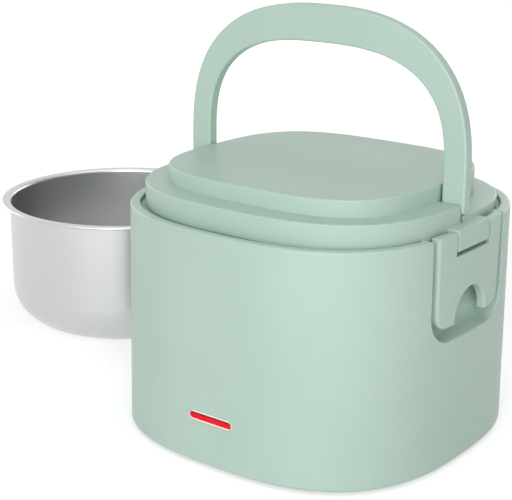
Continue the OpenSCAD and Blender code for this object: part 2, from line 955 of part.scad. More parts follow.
module food_pot() {
    inner_r = pot_r - pot_t;
    corner = pot_corner;
    color(steel_colour)
    translate([pot_place[0], pot_place[1], 0])
        rotate_extrude()
            polygon(concat(
                [[0, 0]],
                arc(pot_r - corner, corner, corner, -90, 0, 8),
                [[pot_r, pot_h - pot_t], [pot_rim_r, pot_h - pot_t], [pot_rim_r, pot_h], [inner_r, pot_h]],
                arc(pot_r - corner, corner, corner - pot_t, 0, -90, 8),
                [[0, pot_t]]
            ));
}

outer_housing();
deck_ring();
heating_well();
heater_plate();
heating_element();
insulation_pad();
heat_shield();
well_screws();
thermostat();
thermostat_bracket();
thermal_fuse();
fuse_sleeve();
terminal_block();
live_lead();
neutral_lead();
lamp_leads();
indicator_lens();
lamp_holder();
neon_lamp();
inlet_socket();
inlet_pins();
inlet_screws();
base_cover();
base_screws();
feet();
lid_shell();
lid_cap();
lid_inner_plate();
lid_gasket();
lid_screws();
handle_pins();
latch_pins();
handle();
latch_right();
latch_left();
food_pot();
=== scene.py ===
"""Looks of the electric lunch box: moulded shells, a spun steel pot, finishes, light and camera.

Sizes are in millimetres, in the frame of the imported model: the origin is the centre of the base on the
table, +Z is up and the front, with the lamp slot, faces -Y. Each sub-assembly is a class whose fields are
its sizes.
"""

import logging
import math
from collections.abc import Callable, Iterable
from dataclasses import dataclass, field
from enum import Enum
from typing import Any

import bmesh
import bpy
from mathutils import Matrix, Vector


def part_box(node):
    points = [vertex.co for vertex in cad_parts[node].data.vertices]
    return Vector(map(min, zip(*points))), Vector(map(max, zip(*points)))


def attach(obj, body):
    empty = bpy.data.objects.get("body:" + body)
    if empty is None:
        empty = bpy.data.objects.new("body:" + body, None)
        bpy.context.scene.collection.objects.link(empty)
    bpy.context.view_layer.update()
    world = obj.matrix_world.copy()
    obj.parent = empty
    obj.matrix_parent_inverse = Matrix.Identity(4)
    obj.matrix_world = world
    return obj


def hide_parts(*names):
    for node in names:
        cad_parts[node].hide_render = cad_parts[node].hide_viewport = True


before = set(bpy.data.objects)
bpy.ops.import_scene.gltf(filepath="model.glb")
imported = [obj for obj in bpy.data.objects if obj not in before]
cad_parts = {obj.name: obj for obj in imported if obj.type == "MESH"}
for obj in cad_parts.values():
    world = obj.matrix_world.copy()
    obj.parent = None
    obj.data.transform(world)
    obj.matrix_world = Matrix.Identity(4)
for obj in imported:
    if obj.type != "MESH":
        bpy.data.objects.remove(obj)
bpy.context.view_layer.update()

log = logging.getLogger("lunch_box")

# One millimetre in Blender's metres.
MM = 0.001
# Two lengths that differ by less than this are the same length.
CLOSE = 0.02
# A point this near an arc is on it, because the arc is made of flats.
ARC_CLOSE = 0.06
# Points nearer than this to each other are one point.
MERGE = 0.002
# A full round stops this far short of the middle, so that it leaves no face without a width.
SHY = 0.02
# Two solids that are joined overlap by this.
OVERLAP = 0.05
# A cutting tool reaches this far past the hollow that it makes, and this far out of a wall it goes through.
PAST = 1.0
THROUGH = 8.0
# Edges that turn by more than the first are sharp ones; those that turn by more than the second stay crisp
# when a piece is smoothed.
SHARP = math.radians(30)
CRISP = math.radians(35)
# A face looks along an axis when its normal's share that way is more than this.
FACING = 0.9
# A point whose measure is more than the first is on an outline or outside it; one whose measure is less
# than the second is on it or inside it.
ON_OUTLINE = 0.98
IN_OUTLINE = 1.01
# The flats in a quarter of a rounded square, and those in a turned piece.
OUTLINE_STEPS = 36
TURNED_SIDES = 144
# A turned piece starts as a disc of this thickness.
DISC = 0.05
# The right side and the left side.
SIDES = (1, -1)
# The sockets of a colour Mix node, which has several of one name.
MIX_A = 6
MIX_B = 7
MIX_RESULT = 2

# A point, a ring's half width, half depth and height, two lengths that belong together, and a rule that
# picks edges or faces.
Place = tuple[float, float, float]
Station = tuple[float, float, float]
Pair = tuple[float, float]
Test = Callable[[Any], bool]


@dataclass(frozen=True)
class Outline:
    """A rounded square in plan, about the origin; its power is its roundness, 2 for an ellipse."""

    half_x: float
    half_y: float
    power: float

    def smaller(self, inset: float) -> "Outline":
        """Gives the outline with its sides moved in."""
        return Outline(self.half_x - inset, self.half_y - inset, self.power)

    def ring(self, height: float) -> Station:
        """Gives the outline's ring at a height."""
        return (self.half_x, self.half_y, height)

    def measure(self, point: Vector) -> float:
        """Gives 1 for a point on the outline, less for one inside it and more for one outside."""
        return (abs(point.x) / self.half_x) ** self.power + (abs(point.y) / self.half_y) ** self.power

    def clear_of(self, points: list[Vector]) -> bool:
        """Says whether none of some points is inside the outline."""
        return all(self.measure(point) > ON_OUTLINE for point in points)

    def side_drop(self, y: float) -> float:
        """Gives how far the side falls back at a distance y from its middle."""
        share = min(abs(y) / self.half_y, 1) ** self.power
        return self.half_x * (1 - (1 - share) ** (1 / self.power))


class Kind(Enum):
    """What an edit-mode selection is made of."""

    EDGE = "EDGE"
    FACE = "FACE"


class Blend(Enum):
    """How one solid is combined with another."""

    CUT = "DIFFERENCE"
    JOIN = "UNION"
    KEEP_COMMON = "INTERSECT"


def near(value: float, target: float, reach: float = CLOSE) -> bool:
    """Says whether two lengths are the same within a small reach."""
    return abs(value - target) < reach


def corners(item: Any) -> list[Vector]:
    """Gives the corner points of an edge or a face, in millimetres."""
    return [vert.co / MM for vert in item.verts]


def along(item: Any, axis: int) -> bool:
    """Says whether an edge runs along an axis."""
    start, end = corners(item)
    return all(near(start[i], end[i]) for i in range(3) if i != axis) and not near(start[axis], end[axis])


def every(check: Callable[[Vector], bool]) -> Test:
    """Gives the test for edges and faces whose corner points all pass a check."""
    return lambda item: all(check(point) for point in corners(item))


def at(axis: int, value: float) -> Test:
    """Gives the test for edges and faces that lie at one place along an axis."""
    return every(lambda point: near(point[axis], value))


def is_sharp(edge: Any, limit: float = SHARP) -> bool:
    """Says whether an edge between two faces turns by more than a limit."""
    return len(edge.link_faces) == 2 and edge.calc_face_angle() > limit


def facing(axis: int, way: int) -> Test:
    """Gives the test for faces that look along an axis, up it (1) or down it (-1)."""
    return lambda face: face.normal[axis] * way > FACING


def middle(node: str) -> Pair:
    """Gives the middle of a CAD node in plan, in millimetres."""
    low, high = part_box(node)
    return ((low[0] + high[0]) / 2 / MM, (low[1] + high[1]) / 2 / MM)


def bend(centre: Pair, radius: float, start: float, end: float, steps: int) -> list[Pair]:
    """Gives the rings of a round bend in a turned piece's wall.

    Args:
        centre: the bend's centre, out from the piece's axis and up from the table.
        radius: the bend's radius.
        start: the angle of its first ring.
        end: the angle of its last ring.
        steps: the flats in the bend.

    Returns:
        Each ring's radius and height.
    """
    turns = [math.radians(start + (end - start) * i / steps) for i in range(steps + 1)]
    return [(centre[0] + radius * math.cos(turn), centre[1] + radius * math.sin(turn)) for turn in turns]


def select_only(obj: bpy.types.Object) -> None:
    """Selects one object, makes it the active one and deselects all others.

    Args:
        obj: the object.
    """
    bpy.ops.object.select_all(action="DESELECT")
    obj.select_set(True)
    bpy.context.view_layer.objects.active = obj


class Blank:
    """A mesh on the bench: it starts as a primitive and is shaped with edit-mode operators."""

    def __init__(self, name: str) -> None:
        """Takes the primitive that was just added and puts its place into its mesh.

        Args:
            name: the object's and the mesh's name.
        """
        self.obj: bpy.types.Object = bpy.context.object
        self.obj.name = name
        self.obj.data.name = name
        bpy.ops.object.transform_apply(location=True, rotation=True, scale=True)

    @classmethod
    def block(cls, name: str, one: Place, other: Place) -> "Blank":
        """Adds a block between two opposite corners.

        Args:
            name: the block's name.
            one: a corner of it.
            other: the opposite corner.

        Returns:
            The block.
        """
        bpy.ops.object.select_all(action="DESELECT")
        centre = [(start + end) / 2 * MM for start, end in zip(one, other)]
        size = [abs(end - start) * MM for start, end in zip(one, other)]
        bpy.ops.mesh.primitive_cube_add(size=1, location=centre, scale=size)
        return cls(name)

    @classmethod
    def rod(cls, name: str, radius: float, start: Place, end: Place, sides: int) -> "Blank":
        """Adds a round bar from one point to another.

        Args:
            name: the bar's name.
            radius: its radius.
            start: the middle of one end.
            end: the middle of the other end.
            sides: the flats round it.

        Returns:
            The bar.
        """
        bpy.ops.object.select_all(action="DESELECT")
        run = Vector(end) - Vector(start)
        bpy.ops.mesh.primitive_cylinder_add(
            vertices=sides, radius=radius * MM, depth=run.length * MM,
            location=(Vector(start) + Vector(end)) / 2 * MM,
            rotation=run.to_track_quat("Z", "Y").to_euler())
        return cls(name)

    @classmethod
    def oval_block(cls, name: str, outline: Outline, low: float, high: float) -> "Blank":
        """Adds a straight solid on a rounded-square outline.

        Args:
            name: the solid's name.
            outline: its outline.
            low: the height of its underside.
            high: the height of its top.

        Returns:
            The solid.
        """
        made = cls.block(name, (-outline.half_x, -outline.half_y, low), outline.ring(high))
        made.oval(outline.power)
        return made

    def pick(self, kind: Kind, test: Test) -> None:
        """Selects, in edit mode, the edges or faces that pass a test.

        Args:
            kind: edges or faces.
            test: says of one edge or face whether it is selected.
        """
        if bpy.context.mode == "OBJECT":
            bpy.ops.object.select_all(action="DESELECT")
        bpy.context.view_layer.objects.active = self.obj
        if self.obj.mode != "EDIT":
            bpy.ops.object.mode_set(mode="EDIT")
        bpy.ops.mesh.select_mode(type=kind.value)
        bpy.ops.mesh.select_all(action="DESELECT")
        mesh = bmesh.from_edit_mesh(self.obj.data)
        mesh.normal_update()
        for item in mesh.edges if kind is Kind.EDGE else mesh.faces:
            if test(item):
                item.select_set(True)
        bmesh.update_edit_mesh(self.obj.data)

    def leave(self) -> None:
        """Goes back to object mode."""
        if self.obj.mode == "EDIT":
            bpy.ops.object.mode_set(mode="OBJECT")

    def clean(self) -> None:
        """Merges doubled points and turns every face outwards."""
        self.pick(Kind.FACE, lambda face: True)
        bpy.ops.mesh.remove_doubles(threshold=MERGE * MM)
        bpy.ops.mesh.normals_make_consistent(inside=False)
        self.leave()

    def round_off(self, test: Test, radius: float, steps: int = 4) -> None:
        """Rounds the edges that pass a test.

        Args:
            test: says of one edge whether it is rounded.
            radius: the rounding's radius.
            steps: the flats in it.
        """
        self.pick(Kind.EDGE, test)
        bpy.ops.mesh.bevel(offset_type="OFFSET", offset=radius * MM, segments=steps, profile=0.5,
                           affect="EDGES", clamp_overlap=False)
        self.leave()

    def oval(self, power: float, axis: int = 2, steps: int = OUTLINE_STEPS) -> None:
        """Turns a block's four edges along an axis into one rounded-square outline.

        Args:
            power: the outline's roundness, 2 for an ellipse.
            axis: the axis that the four edges run along.
            steps: the flats in each quarter.
        """
        self.pick(Kind.EDGE, lambda edge: along(edge, axis))
        bpy.ops.mesh.bevel(offset_type="PERCENT", offset_pct=50, segments=steps, profile=2 ** (-2 / power),
                           affect="EDGES", clamp_overlap=False)
        self.clean()

    def pull(self, face_test: Test, stations: Iterable[Station]) -> None:
        """Extrudes one flat face through a row of rings.

        Args:
            face_test: picks the face to start from.
            stations: each ring's half width, half depth and height.
        """
        self.pick(Kind.FACE, face_test)
        for half_x, half_y, height in stations:
            mesh = bmesh.from_edit_mesh(self.obj.data)
            ring = [vert.co / MM for vert in mesh.verts if vert.select]
            wide = max(point.x for point in ring)
            slim = min(point.x for point in ring)
            deep = max(point.y for point in ring)
            shallow = min(point.y for point in ring)
            rise = (height - ring[0].z) * MM
            centre = ((wide + slim) / 2 * MM, (deep + shallow) / 2 * MM, height * MM)
            bpy.ops.mesh.extrude_region_move(TRANSFORM_OT_translate={"value": (0, 0, rise)})
            bpy.ops.transform.resize(value=(half_x * 2 / (wide - slim), half_y * 2 / (deep - shallow), 1),
                                     center_override=centre)
        self.leave()

    def drop_faces(self, test: Test) -> None:
        """Deletes the faces that pass a test and closes up the edges that meet there.

        Args:
            test: says of one face whether it goes.
        """
        self.pick(Kind.FACE, test)
        bpy.ops.mesh.delete(type="ONLY_FACE")
        self.clean()

    def resize_face(self, test: Test, factors: Pair) -> None:
        """Scales faces in plan, about the origin.

        Args:
            test: says of one face whether it is scaled.
            factors: the scale along X and the scale along Y.
        """
        self.pick(Kind.FACE, test)
        bpy.ops.transform.resize(value=(*factors, 1), center_override=(0, 0, 0))
        self.leave()

    def draw_out(self, test: Test, rise: float) -> None:
        """Extrudes faces straight up or down.

        Args:
            test: says of one face whether it is extruded.
            rise: how far up, and down when it is negative.
        """
        self.pick(Kind.FACE, test)
        bpy.ops.mesh.extrude_region_move(TRANSFORM_OT_translate={"value": (0, 0, rise * MM)})
        self.leave()
        self.clean()

    def slice(self, point: Place, normal: Place, clear: bool = False) -> None:
        """Cuts the mesh's faces with a plane.

        Args:
            point: a point on the plane.
            normal: the plane's normal.
            clear: takes away what is on the normal's side and closes the cut.
        """
        self.pick(Kind.FACE, lambda face: True)
        bpy.ops.mesh.bisect(plane_co=[value * MM for value in point], plane_no=normal,
                            clear_outer=clear, use_fill=clear)
        self.leave()

    def work(self, tool: "Blank", blend: Blend) -> None:
        """Combines the mesh with a tool solid, which is used up.

        Args:
            tool: the other solid.
            blend: how the two are combined.
        """
        bpy.context.view_layer.objects.active = self.obj
        modifier = self.obj.modifiers.new("work", "BOOLEAN")
        modifier.operation = blend.value
        modifier.solver = "EXACT"
        modifier.object = tool.obj
        bpy.ops.object.modifier_apply(modifier="work")
        bpy.data.objects.remove(tool.obj)

    def wrap(self, cuts: Iterable[float], outline: Outline) -> None:
        """Cuts the mesh into upright strips and bends it round the right side of an outline.

        Args:
            cuts: where the cuts between the strips are, along Y.
            outline: the outline.
        """
        for place in cuts:
            self.slice((0, place, 0), (0, 1, 0))
        for vert in self.obj.data.vertices:
            vert.co.x -= outline.side_drop(vert.co.y / MM) * MM

    def mirrored(self, name: str) -> "Blank":
        """Copies the mesh to the other side of the box.

        Args:
            name: the copy's name.

        Returns:
            The copy, with its faces turned outwards.
        """
        twin = self.obj.copy()
        twin.data = self.obj.data.copy()
        bpy.context.scene.collection.objects.link(twin)
        select_only(twin)
        twin.scale = (-1, 1, 1)
        made = Blank(name)
        made.clean()
        return made

    def finish(self, finish: "Finish", body: str, slot: str, stands_for: Iterable[str] = ()) -> None:
        """Smooths the piece, dresses it and hands it to its body.

        Args:
            finish: the material that it gets.
            body: the CAD body that it rides on.
            slot: the name of a material slot; not used.
            stands_for: the CAD nodes that it replaces.
        """
        self.leave()
        select_only(self.obj)
        bpy.ops.object.shade_smooth_by_angle(angle=CRISP)
        weigh = self.obj.modifiers.new("weigh", "WEIGHTED_NORMAL")
        weigh.keep_sharp = True
        bpy.ops.object.modifier_apply(modifier="weigh")
        dress(self.obj, finish)
        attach(self.obj, body)
        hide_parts(*stands_for)
        log.info("%s rides on %s", self.obj.name, body)


def spin(name: str, centre: Place, flat: float, rings: list[Pair]) -> Blank:
    """Turns a dish: a disc's top is drawn outwards, up the outside, over the rim and down the inside.

    Args:
        name: the dish's name.
        centre: the middle of its underside.
        flat: the disc's radius.
        rings: the radius and the height of each ring.

    Returns:
        The dish.
    """
    x, y, bottom = centre
    dish = Blank.rod(name, flat, centre, (x, y, bottom + DISC), TURNED_SIDES)
    dish.pull(facing(2, 1), [(radius, radius, height) for radius, height in rings])
    dish.clean()
    return dish


def linear(hex_colour: str) -> tuple[float, float, float, float]:
    """Turns an sRGB hex colour into Blender's linear colour.

    Args:
        hex_colour: the colour, such as "#B7CFC2".

    Returns:
        Its red, green and blue in linear light, and full opacity.
    """
    parts = [int(hex_colour[i:i + 2], 16) / 255 for i in (1, 3, 5)]
    straight = [part / 12.92 if part <= 0.04045 else ((part + 0.055) / 1.055) ** 2.4 for part in parts]
    return (*straight, 1.0)


def feed(node: bpy.types.Node, numbered: dict[int, Any] | None = None, **named: Any) -> None:
    """Sets or links sockets of a node.

    Args:
        node: the node.
        numbered: sockets by number, each with a value or an output to link.
        named: sockets by name, with underscores for spaces, each with a value or an output to link.
    """
    sockets = [(node.inputs[number], value) for number, value in (numbered or {}).items()]
    sockets += [(node.inputs[name.replace("_", " ")], value) for name, value in named.items()]
    for socket, value in sockets:
        if isinstance(value, bpy.types.NodeSocket):
            node.id_data.links.new(value, socket)
        else:
            socket.default_value = value


def add_node(tree: bpy.types.NodeTree, kind: str, settings: dict[str, Any] | None = None,
             numbered: dict[int, Any] | None = None, **named: Any) -> bpy.types.Node:
    """Adds a node with its settings and links.

    Args:
        tree: the material's node tree.
        kind: the node's type.
        settings: properties of the node itself.
        numbered: sockets by number, as in feed.
        named: sockets by name, as in feed.

    Returns:
        The new node.
    """
    node = tree.nodes.new(kind)
    for key, value in (settings or {}).items():
        setattr(node, key, value)
    feed(node, numbered, **named)
    return node


@dataclass(frozen=True)
class Finish:
    """A surface finish: the two colours, the shine and the relief that every kind of finish has."""

    name: str
    colour: str
    roughness: float
    metallic: float = 0.0
    shade: str = "#808080"
    depth: float = 0.01
    relief: float = 0.5

    def pattern(self, tree: bpy.types.NodeTree, shader: bpy.types.Node) -> None:
        """Adds the finish's own pattern to the shader; a plain finish has none."""

    def two_tone(self, tree: bpy.types.NodeTree, share: bpy.types.NodeSocket) -> bpy.types.NodeSocket:
        """Mixes the finish's colour with its shade.

        Args:
            tree: the material's node tree.
            share: how much of the shade shows, from 0 to 1.

        Returns:
            The mixed colour.
        """
        mix = add_node(tree, "ShaderNodeMix", {"data_type": "RGBA"},
                       {MIX_A: linear(self.colour), MIX_B: linear(self.shade)}, Factor=share)
        return mix.outputs[MIX_RESULT]

    def raise_grain(self, shader: bpy.types.Node, place: bpy.types.NodeSocket, width: float,
                    detail: float) -> bpy.types.NodeSocket:
        """Gives the surface a fine relief.

        Args:
            shader: the shader that it feeds.
            place: the pattern's coordinates, in metres.
            width: a grain's width, in millimetres.
            detail: how many finer layers lie in it.

        Returns:
            The relief's height, from 0 to 1.
        """
        tree = shader.id_data
        grain = add_node(tree, "ShaderNodeTexNoise", Vector=place, Scale=1 / (width * MM), Detail=detail)
        bump = add_node(tree, "ShaderNodeBump", Strength=self.relief, Distance=self.depth * MM,
                        Height=grain.outputs["Fac"])
        feed(shader, Normal=bump.outputs["Normal"])
        return grain.outputs["Fac"]

    def make(self) -> bpy.types.Material:
        """Makes the material the first time that it is asked for.

        Returns:
            The material, the same one each time.
        """
        made = bpy.data.materials.get(self.name)
        if made:
            return made
        made = bpy.data.materials.new(self.name)
        made.use_nodes = True
        tree = made.node_tree
        tree.nodes.clear()
        shader = add_node(tree, "ShaderNodeBsdfPrincipled", Base_Color=linear(self.colour),
                          Roughness=self.roughness, Metallic=self.metallic)
        add_node(tree, "ShaderNodeOutputMaterial", Surface=shader.outputs["BSDF"])
        self.pattern(tree, shader)
        return made


@dataclass(frozen=True)
class MouldedPlastic(Finish):
    """Injection-moulded plastic: a spark-eroded mould gives an even satin sheen, and the flow faint clouds.

    The real grain is about 0.1 mm, too fine to show, so it is drawn at 0.9 mm. The clouds are as wide as the
    flow fronts of a moulding, some 60 mm. In slits the colour is painted deeper and greener: painted shade,
    for the light that reaches a slit's foot only by way of its walls.
    """

    shade: str = "#B3CBBE"
    grain: float = 0.9
    depth: float = 0.012
    relief: float = 0.35
    uneven: float = 0.04
    cloud: float = 60.0
    cloud_range: Pair = (0.35, 0.65)
    # Painted shade in slits: the reach of the probe, the ambient-occlusion values over which the shade comes
    # in, and the tint that dims the colour there.
    gap: float = 5.0
    painted_shade_range: Pair = (0.05, 0.4)
    painted_shade_tint: tuple[float, float, float] = (0.34, 0.42, 0.38)

    def pattern(self, tree: bpy.types.NodeTree, shader: bpy.types.Node) -> None:
        """Adds the clouds, the painted shade in slits and the satin grain.

        Args:
            tree: the material's node tree.
            shader: the shader that they feed.
        """
        place = add_node(tree, "ShaderNodeTexCoord").outputs["Object"]
        flow = add_node(tree, "ShaderNodeTexNoise", Vector=place, Scale=1 / (self.cloud * MM), Detail=2.0)
        cloudy = add_node(tree, "ShaderNodeMapRange", Value=flow.outputs["Fac"],
                          From_Min=self.cloud_range[0], From_Max=self.cloud_range[1])
        # Painted shade: where walls stand close round a point, the ambient-occlusion value falls and the
        # colour is mixed towards a dim green that stands for the shade at a slit's foot.
        openness = add_node(tree, "ShaderNodeAmbientOcclusion", {"samples": 8}, Distance=self.gap * MM)
        painted_shade_share = add_node(tree, "ShaderNodeMapRange", Value=openness.outputs["AO"],
                          From_Min=self.painted_shade_range[0], From_Max=self.painted_shade_range[1], To_Min=1.0, To_Max=0.0)
        deep = (*(part * tint for part, tint in zip(linear(self.colour), self.painted_shade_tint)), 1.0)
        colours = add_node(tree, "ShaderNodeMix", {"data_type": "RGBA"},
                           {MIX_A: self.two_tone(tree, cloudy.outputs["Result"]), MIX_B: deep},
                           Factor=painted_shade_share.outputs["Result"])
        gloss = add_node(tree, "ShaderNodeMapRange", Value=self.raise_grain(shader, place, self.grain, 3.0),
                         To_Min=self.roughness - self.uneven, To_Max=self.roughness + self.uneven)
        feed(shader, Base_Color=colours.outputs[MIX_RESULT], Roughness=gloss.outputs["Result"])


@dataclass(frozen=True)
class TurnedMetal(Finish):
    """Metal spun or ground and then satin polished in a lathe: reflections blur to soft bands along its axis.

    The polishing rings of the real one are about 0.05 mm apart, too fine to show, and are drawn 0.8 mm apart.
    """

    centre: Place = (0, 0, 0)
    line: float = 0.8
    line_range: Pair = (0.3, 0.7)
    streak: float = 0.02
    relief: float = 0.02

    def pattern(self, tree: bpy.types.NodeTree, shader: bpy.types.Node) -> None:
        """Adds the polishing rings round the piece's axis.

        Args:
            tree: the material's node tree.
            shader: the shader that they feed.
        """
        place = add_node(tree, "ShaderNodeTexCoord").outputs["Object"]
        centred = add_node(tree, "ShaderNodeMapping", {"vector_type": "POINT"}, Vector=place,
                           Location=tuple(-value * MM for value in self.centre))
        split = add_node(tree, "ShaderNodeSeparateXYZ", Vector=centred.outputs["Vector"])
        flat = add_node(tree, "ShaderNodeCombineXYZ", X=split.outputs["X"], Y=split.outputs["Y"])
        radius = add_node(tree, "ShaderNodeVectorMath", {"operation": "LENGTH"}, {0: flat.outputs["Vector"]})
        ring = add_node(tree, "ShaderNodeCombineXYZ", X=radius.outputs["Value"], Z=split.outputs["Z"])
        lines = self.raise_grain(shader, ring.outputs["Vector"], self.line, 2.0)
        gloss = add_node(tree, "ShaderNodeMapRange", Value=lines,
                         From_Min=self.line_range[0], From_Max=self.line_range[1],
                         To_Min=self.roughness - self.streak / 2, To_Max=self.roughness + self.streak / 2)
        feed(shader, Roughness=gloss.outputs["Result"])


@dataclass(frozen=True)
class Speckled(Finish):
    """A surface with a fine irregular grain: cast or plated metal, fibre board, ceramic, rubber or silicone.

    The grain is drawn at two to five times its real width, so that it shows.
    """

    grain: float = 1.2
    depth: float = 0.05

    def pattern(self, tree: bpy.types.NodeTree, shader: bpy.types.Node) -> None:
        """Adds the grain as colour and as relief.

        Args:
            tree: the material's node tree.
            shader: the shader that it feeds.
        """
        place = add_node(tree, "ShaderNodeTexCoord").outputs["Object"]
        spots = self.raise_grain(shader, place, self.grain, 4.0)
        feed(shader, Base_Color=self.two_tone(tree, spots))


@dataclass(frozen=True)
class ClearPlastic(Finish):
    """Tinted clear plastic or glass, polished: light goes in a little way and comes back coloured.

    The waves are those of a polished mould, drawn at their real width of some 6 mm. Over the last millimetre
    under the top edge the colour turns to the shade: a painted shadow of the slot's lip.
    """

    shade: str = "#7C0A16"
    # The glow: light from the lamp behind, on the red window and on the neon lamp; painted light on the pale
    # border.
    glow: float = 0.1
    # The top edge's height, and how far under it the painted shadow begins and where it is full, in
    # millimetres.
    top: float = 26.7
    painted_shadow_band: Pair = (1.3, 0.5)
    wave: float = 6.0
    depth: float = 0.05
    relief: float = 0.2
    mirror: float = 0.15
    cloudy: float = 0.3
    reach: float = 1.5
    spread: tuple[float, float, float] = (1.0, 0.2, 0.2)

    def pattern(self, tree: bpy.types.NodeTree, shader: bpy.types.Node) -> None:
        """Adds the soft waves of a polished moulding, its glow from inside and a painted shadow at its top.

        Args:
            tree: the material's node tree.
            shader: the shader that they feed.
        """
        place = add_node(tree, "ShaderNodeTexCoord").outputs["Object"]
        self.raise_grain(shader, place, self.wave, 1.0)
        height = add_node(tree, "ShaderNodeSeparateXYZ", Vector=place).outputs["Z"]
        # Painted shadow: the colour turns to the shade just under the top edge, as if the slot's lip shaded
        # it.
        painted_shadow_share = add_node(tree, "ShaderNodeMapRange", Value=height, From_Min=(self.top - self.painted_shadow_band[0]) * MM,
                          From_Max=(self.top - self.painted_shadow_band[1]) * MM)
        tones = self.two_tone(tree, painted_shadow_share.outputs["Result"])
        feed(shader, Base_Color=tones, Specular_IOR_Level=self.mirror, Subsurface_Weight=self.cloudy,
             Subsurface_Scale=self.reach * MM, Subsurface_Radius=self.spread, Emission_Color=tones,
             Emission_Strength=self.glow)


# Polypropylene, moulded in a spark-eroded mould: a pale green with a broad, soft sheen and no mirror image.
SHELL = MouldedPlastic("polypropylene_satin_mint", "#B7CFC2", 0.42)
# The same plastic on the inner parts, from a rougher mould: flatter and a shade greyer.
INNER = MouldedPlastic("polypropylene_inner_mint", "#AFC5BA", 0.52, shade="#ABC2B6")
# Phenolic, moulded: near black with a dull shine.
DARK = MouldedPlastic("phenolic_moulded_black", "#1D1D1E", 0.45, shade="#222223")
# Stainless steel, spun and satin polished: pale grey, with its surroundings blurred to broad bands.
POT_STEEL = TurnedMetal("stainless_steel_satin_spun", "#CBCCCD", 0.31, 1.0, centre=(*middle("food_pot"), 0.0))
# Aluminium, spun: as pale as the steel and a little duller.
WELL_ALUMINIUM = TurnedMetal("aluminium_spun_well", "#C6C8C9", 0.38, 1.0)
# Steel rod, ground: mid grey and bright.
ROD_STEEL = TurnedMetal("steel_ground_rod", "#B4B5B6", 0.3, 1.0)
# Steel, zinc plated: mid grey, with faint clouds.
PLATED = Speckled("steel_zinc_plated", "#A9ABAD", 0.38, 1.0, shade="#9B9D9F", grain=2.0, depth=0.01)
# Aluminium, as cast: a dull grey skin with a coarse grain.
CAST = Speckled("aluminium_as_cast", "#A6A8A9", 0.55, 1.0, shade="#959798", grain=0.8)
# Brass, nickel plated: a warm grey that is nearly a mirror.
NICKEL = TurnedMetal("brass_nickel_plated", "#C8C4BA", 0.22, 1.0)
# Ceramic fibre, pressed: off-white and chalky, with no shine.
BOARD = Speckled("ceramic_fibre_pressed", "#DCD8CC", 0.9, shade="#CDC8BA", grain=1.5)
# Steatite, fired: cream, hard and a little glossy.
STEATITE = Speckled("steatite_fired", "#E4E0D2", 0.35, shade="#DAD5C6", grain=1.0, depth=0.02)
# Rubber, moulded: dark and matt.
RUBBER = Speckled("rubber_moulded_dark", "#2A2A2B", 0.75, shade="#323233", grain=0.7)
# Silicone, moulded: pale grey with a soft skin.
SILICONE = Speckled("silicone_moulded_grey", "#D5D6D3", 0.55, shade="#CFD0CD", grain=0.9, depth=0.01)
# Silicone lead covers, extruded: one full colour each, with a waxy sheen.
BROWN_LEAD = Speckled("silicone_lead_brown", "#6E4A33", 0.5, shade="#66442E", grain=0.8, depth=0.01)
BLUE_LEAD = Speckled("silicone_lead_blue", "#2F5FA8", 0.5, shade="#2B5799", grain=0.8, depth=0.01)
RED_LEAD = Speckled("silicone_lead_red", "#B03030", 0.5, shade="#A52C2C", grain=0.8, depth=0.01)
# Acrylic, tinted and polished: a full red lit from inside, with a painted shadow along its top.
RED_LENS = ClearPlastic("acrylic_clear_red", "#E60A22", 0.12, glow=0.14, top=26.2)
# Acrylic: a pale border round the window, whose glow is painted light against the slot's shade.
PALE_BORDER = ClearPlastic("acrylic_pale_painted_light", "#F3E9E4", 0.3, shade="#F3E9E4", glow=0.2)
# Glass with a neon filling: a weak orange, with the window's painted shadow band from 26.7 mm up.
LAMP = ClearPlastic("glass_neon_lamp", "#F2A184", 0.1, shade="#E09478", top=28.0)

NODE_FINISHES: dict[str, Finish] = {
    "deck_ring": INNER, "heater_plate": CAST, "heating_element": PLATED, "insulation_pad": BOARD,
    "heat_shield": PLATED, "well_screws": PLATED, "thermostat": DARK, "thermostat_bracket": PLATED,
    "thermal_fuse": PLATED, "fuse_sleeve": STEATITE, "terminal_block": STEATITE, "live_lead": BROWN_LEAD,
    "neutral_lead": BLUE_LEAD, "lamp_leads": RED_LEAD, "lamp_holder": DARK, "neon_lamp": LAMP,
    "inlet_socket": DARK, "inlet_pins": NICKEL, "inlet_screws": PLATED, "base_cover": INNER,
    "base_screws": PLATED, "feet": RUBBER, "lid_inner_plate": INNER, "lid_gasket": SILICONE,
    "lid_screws": PLATED, "handle_pins": ROD_STEEL, "latch_pins": ROD_STEEL, "heating_well": WELL_ALUMINIUM,
    "outer_housing": SHELL, "lid_shell": SHELL, "lid_cap": SHELL, "handle": SHELL, "latch_right": SHELL,
    "latch_left": SHELL, "indicator_lens": RED_LENS, "food_pot": POT_STEEL,
}


def dress(obj: bpy.types.Object, finish: Finish) -> None:
    """Puts a finish on all of an object."""
    obj.data.materials.clear()
    obj.data.materials.append(finish.make())


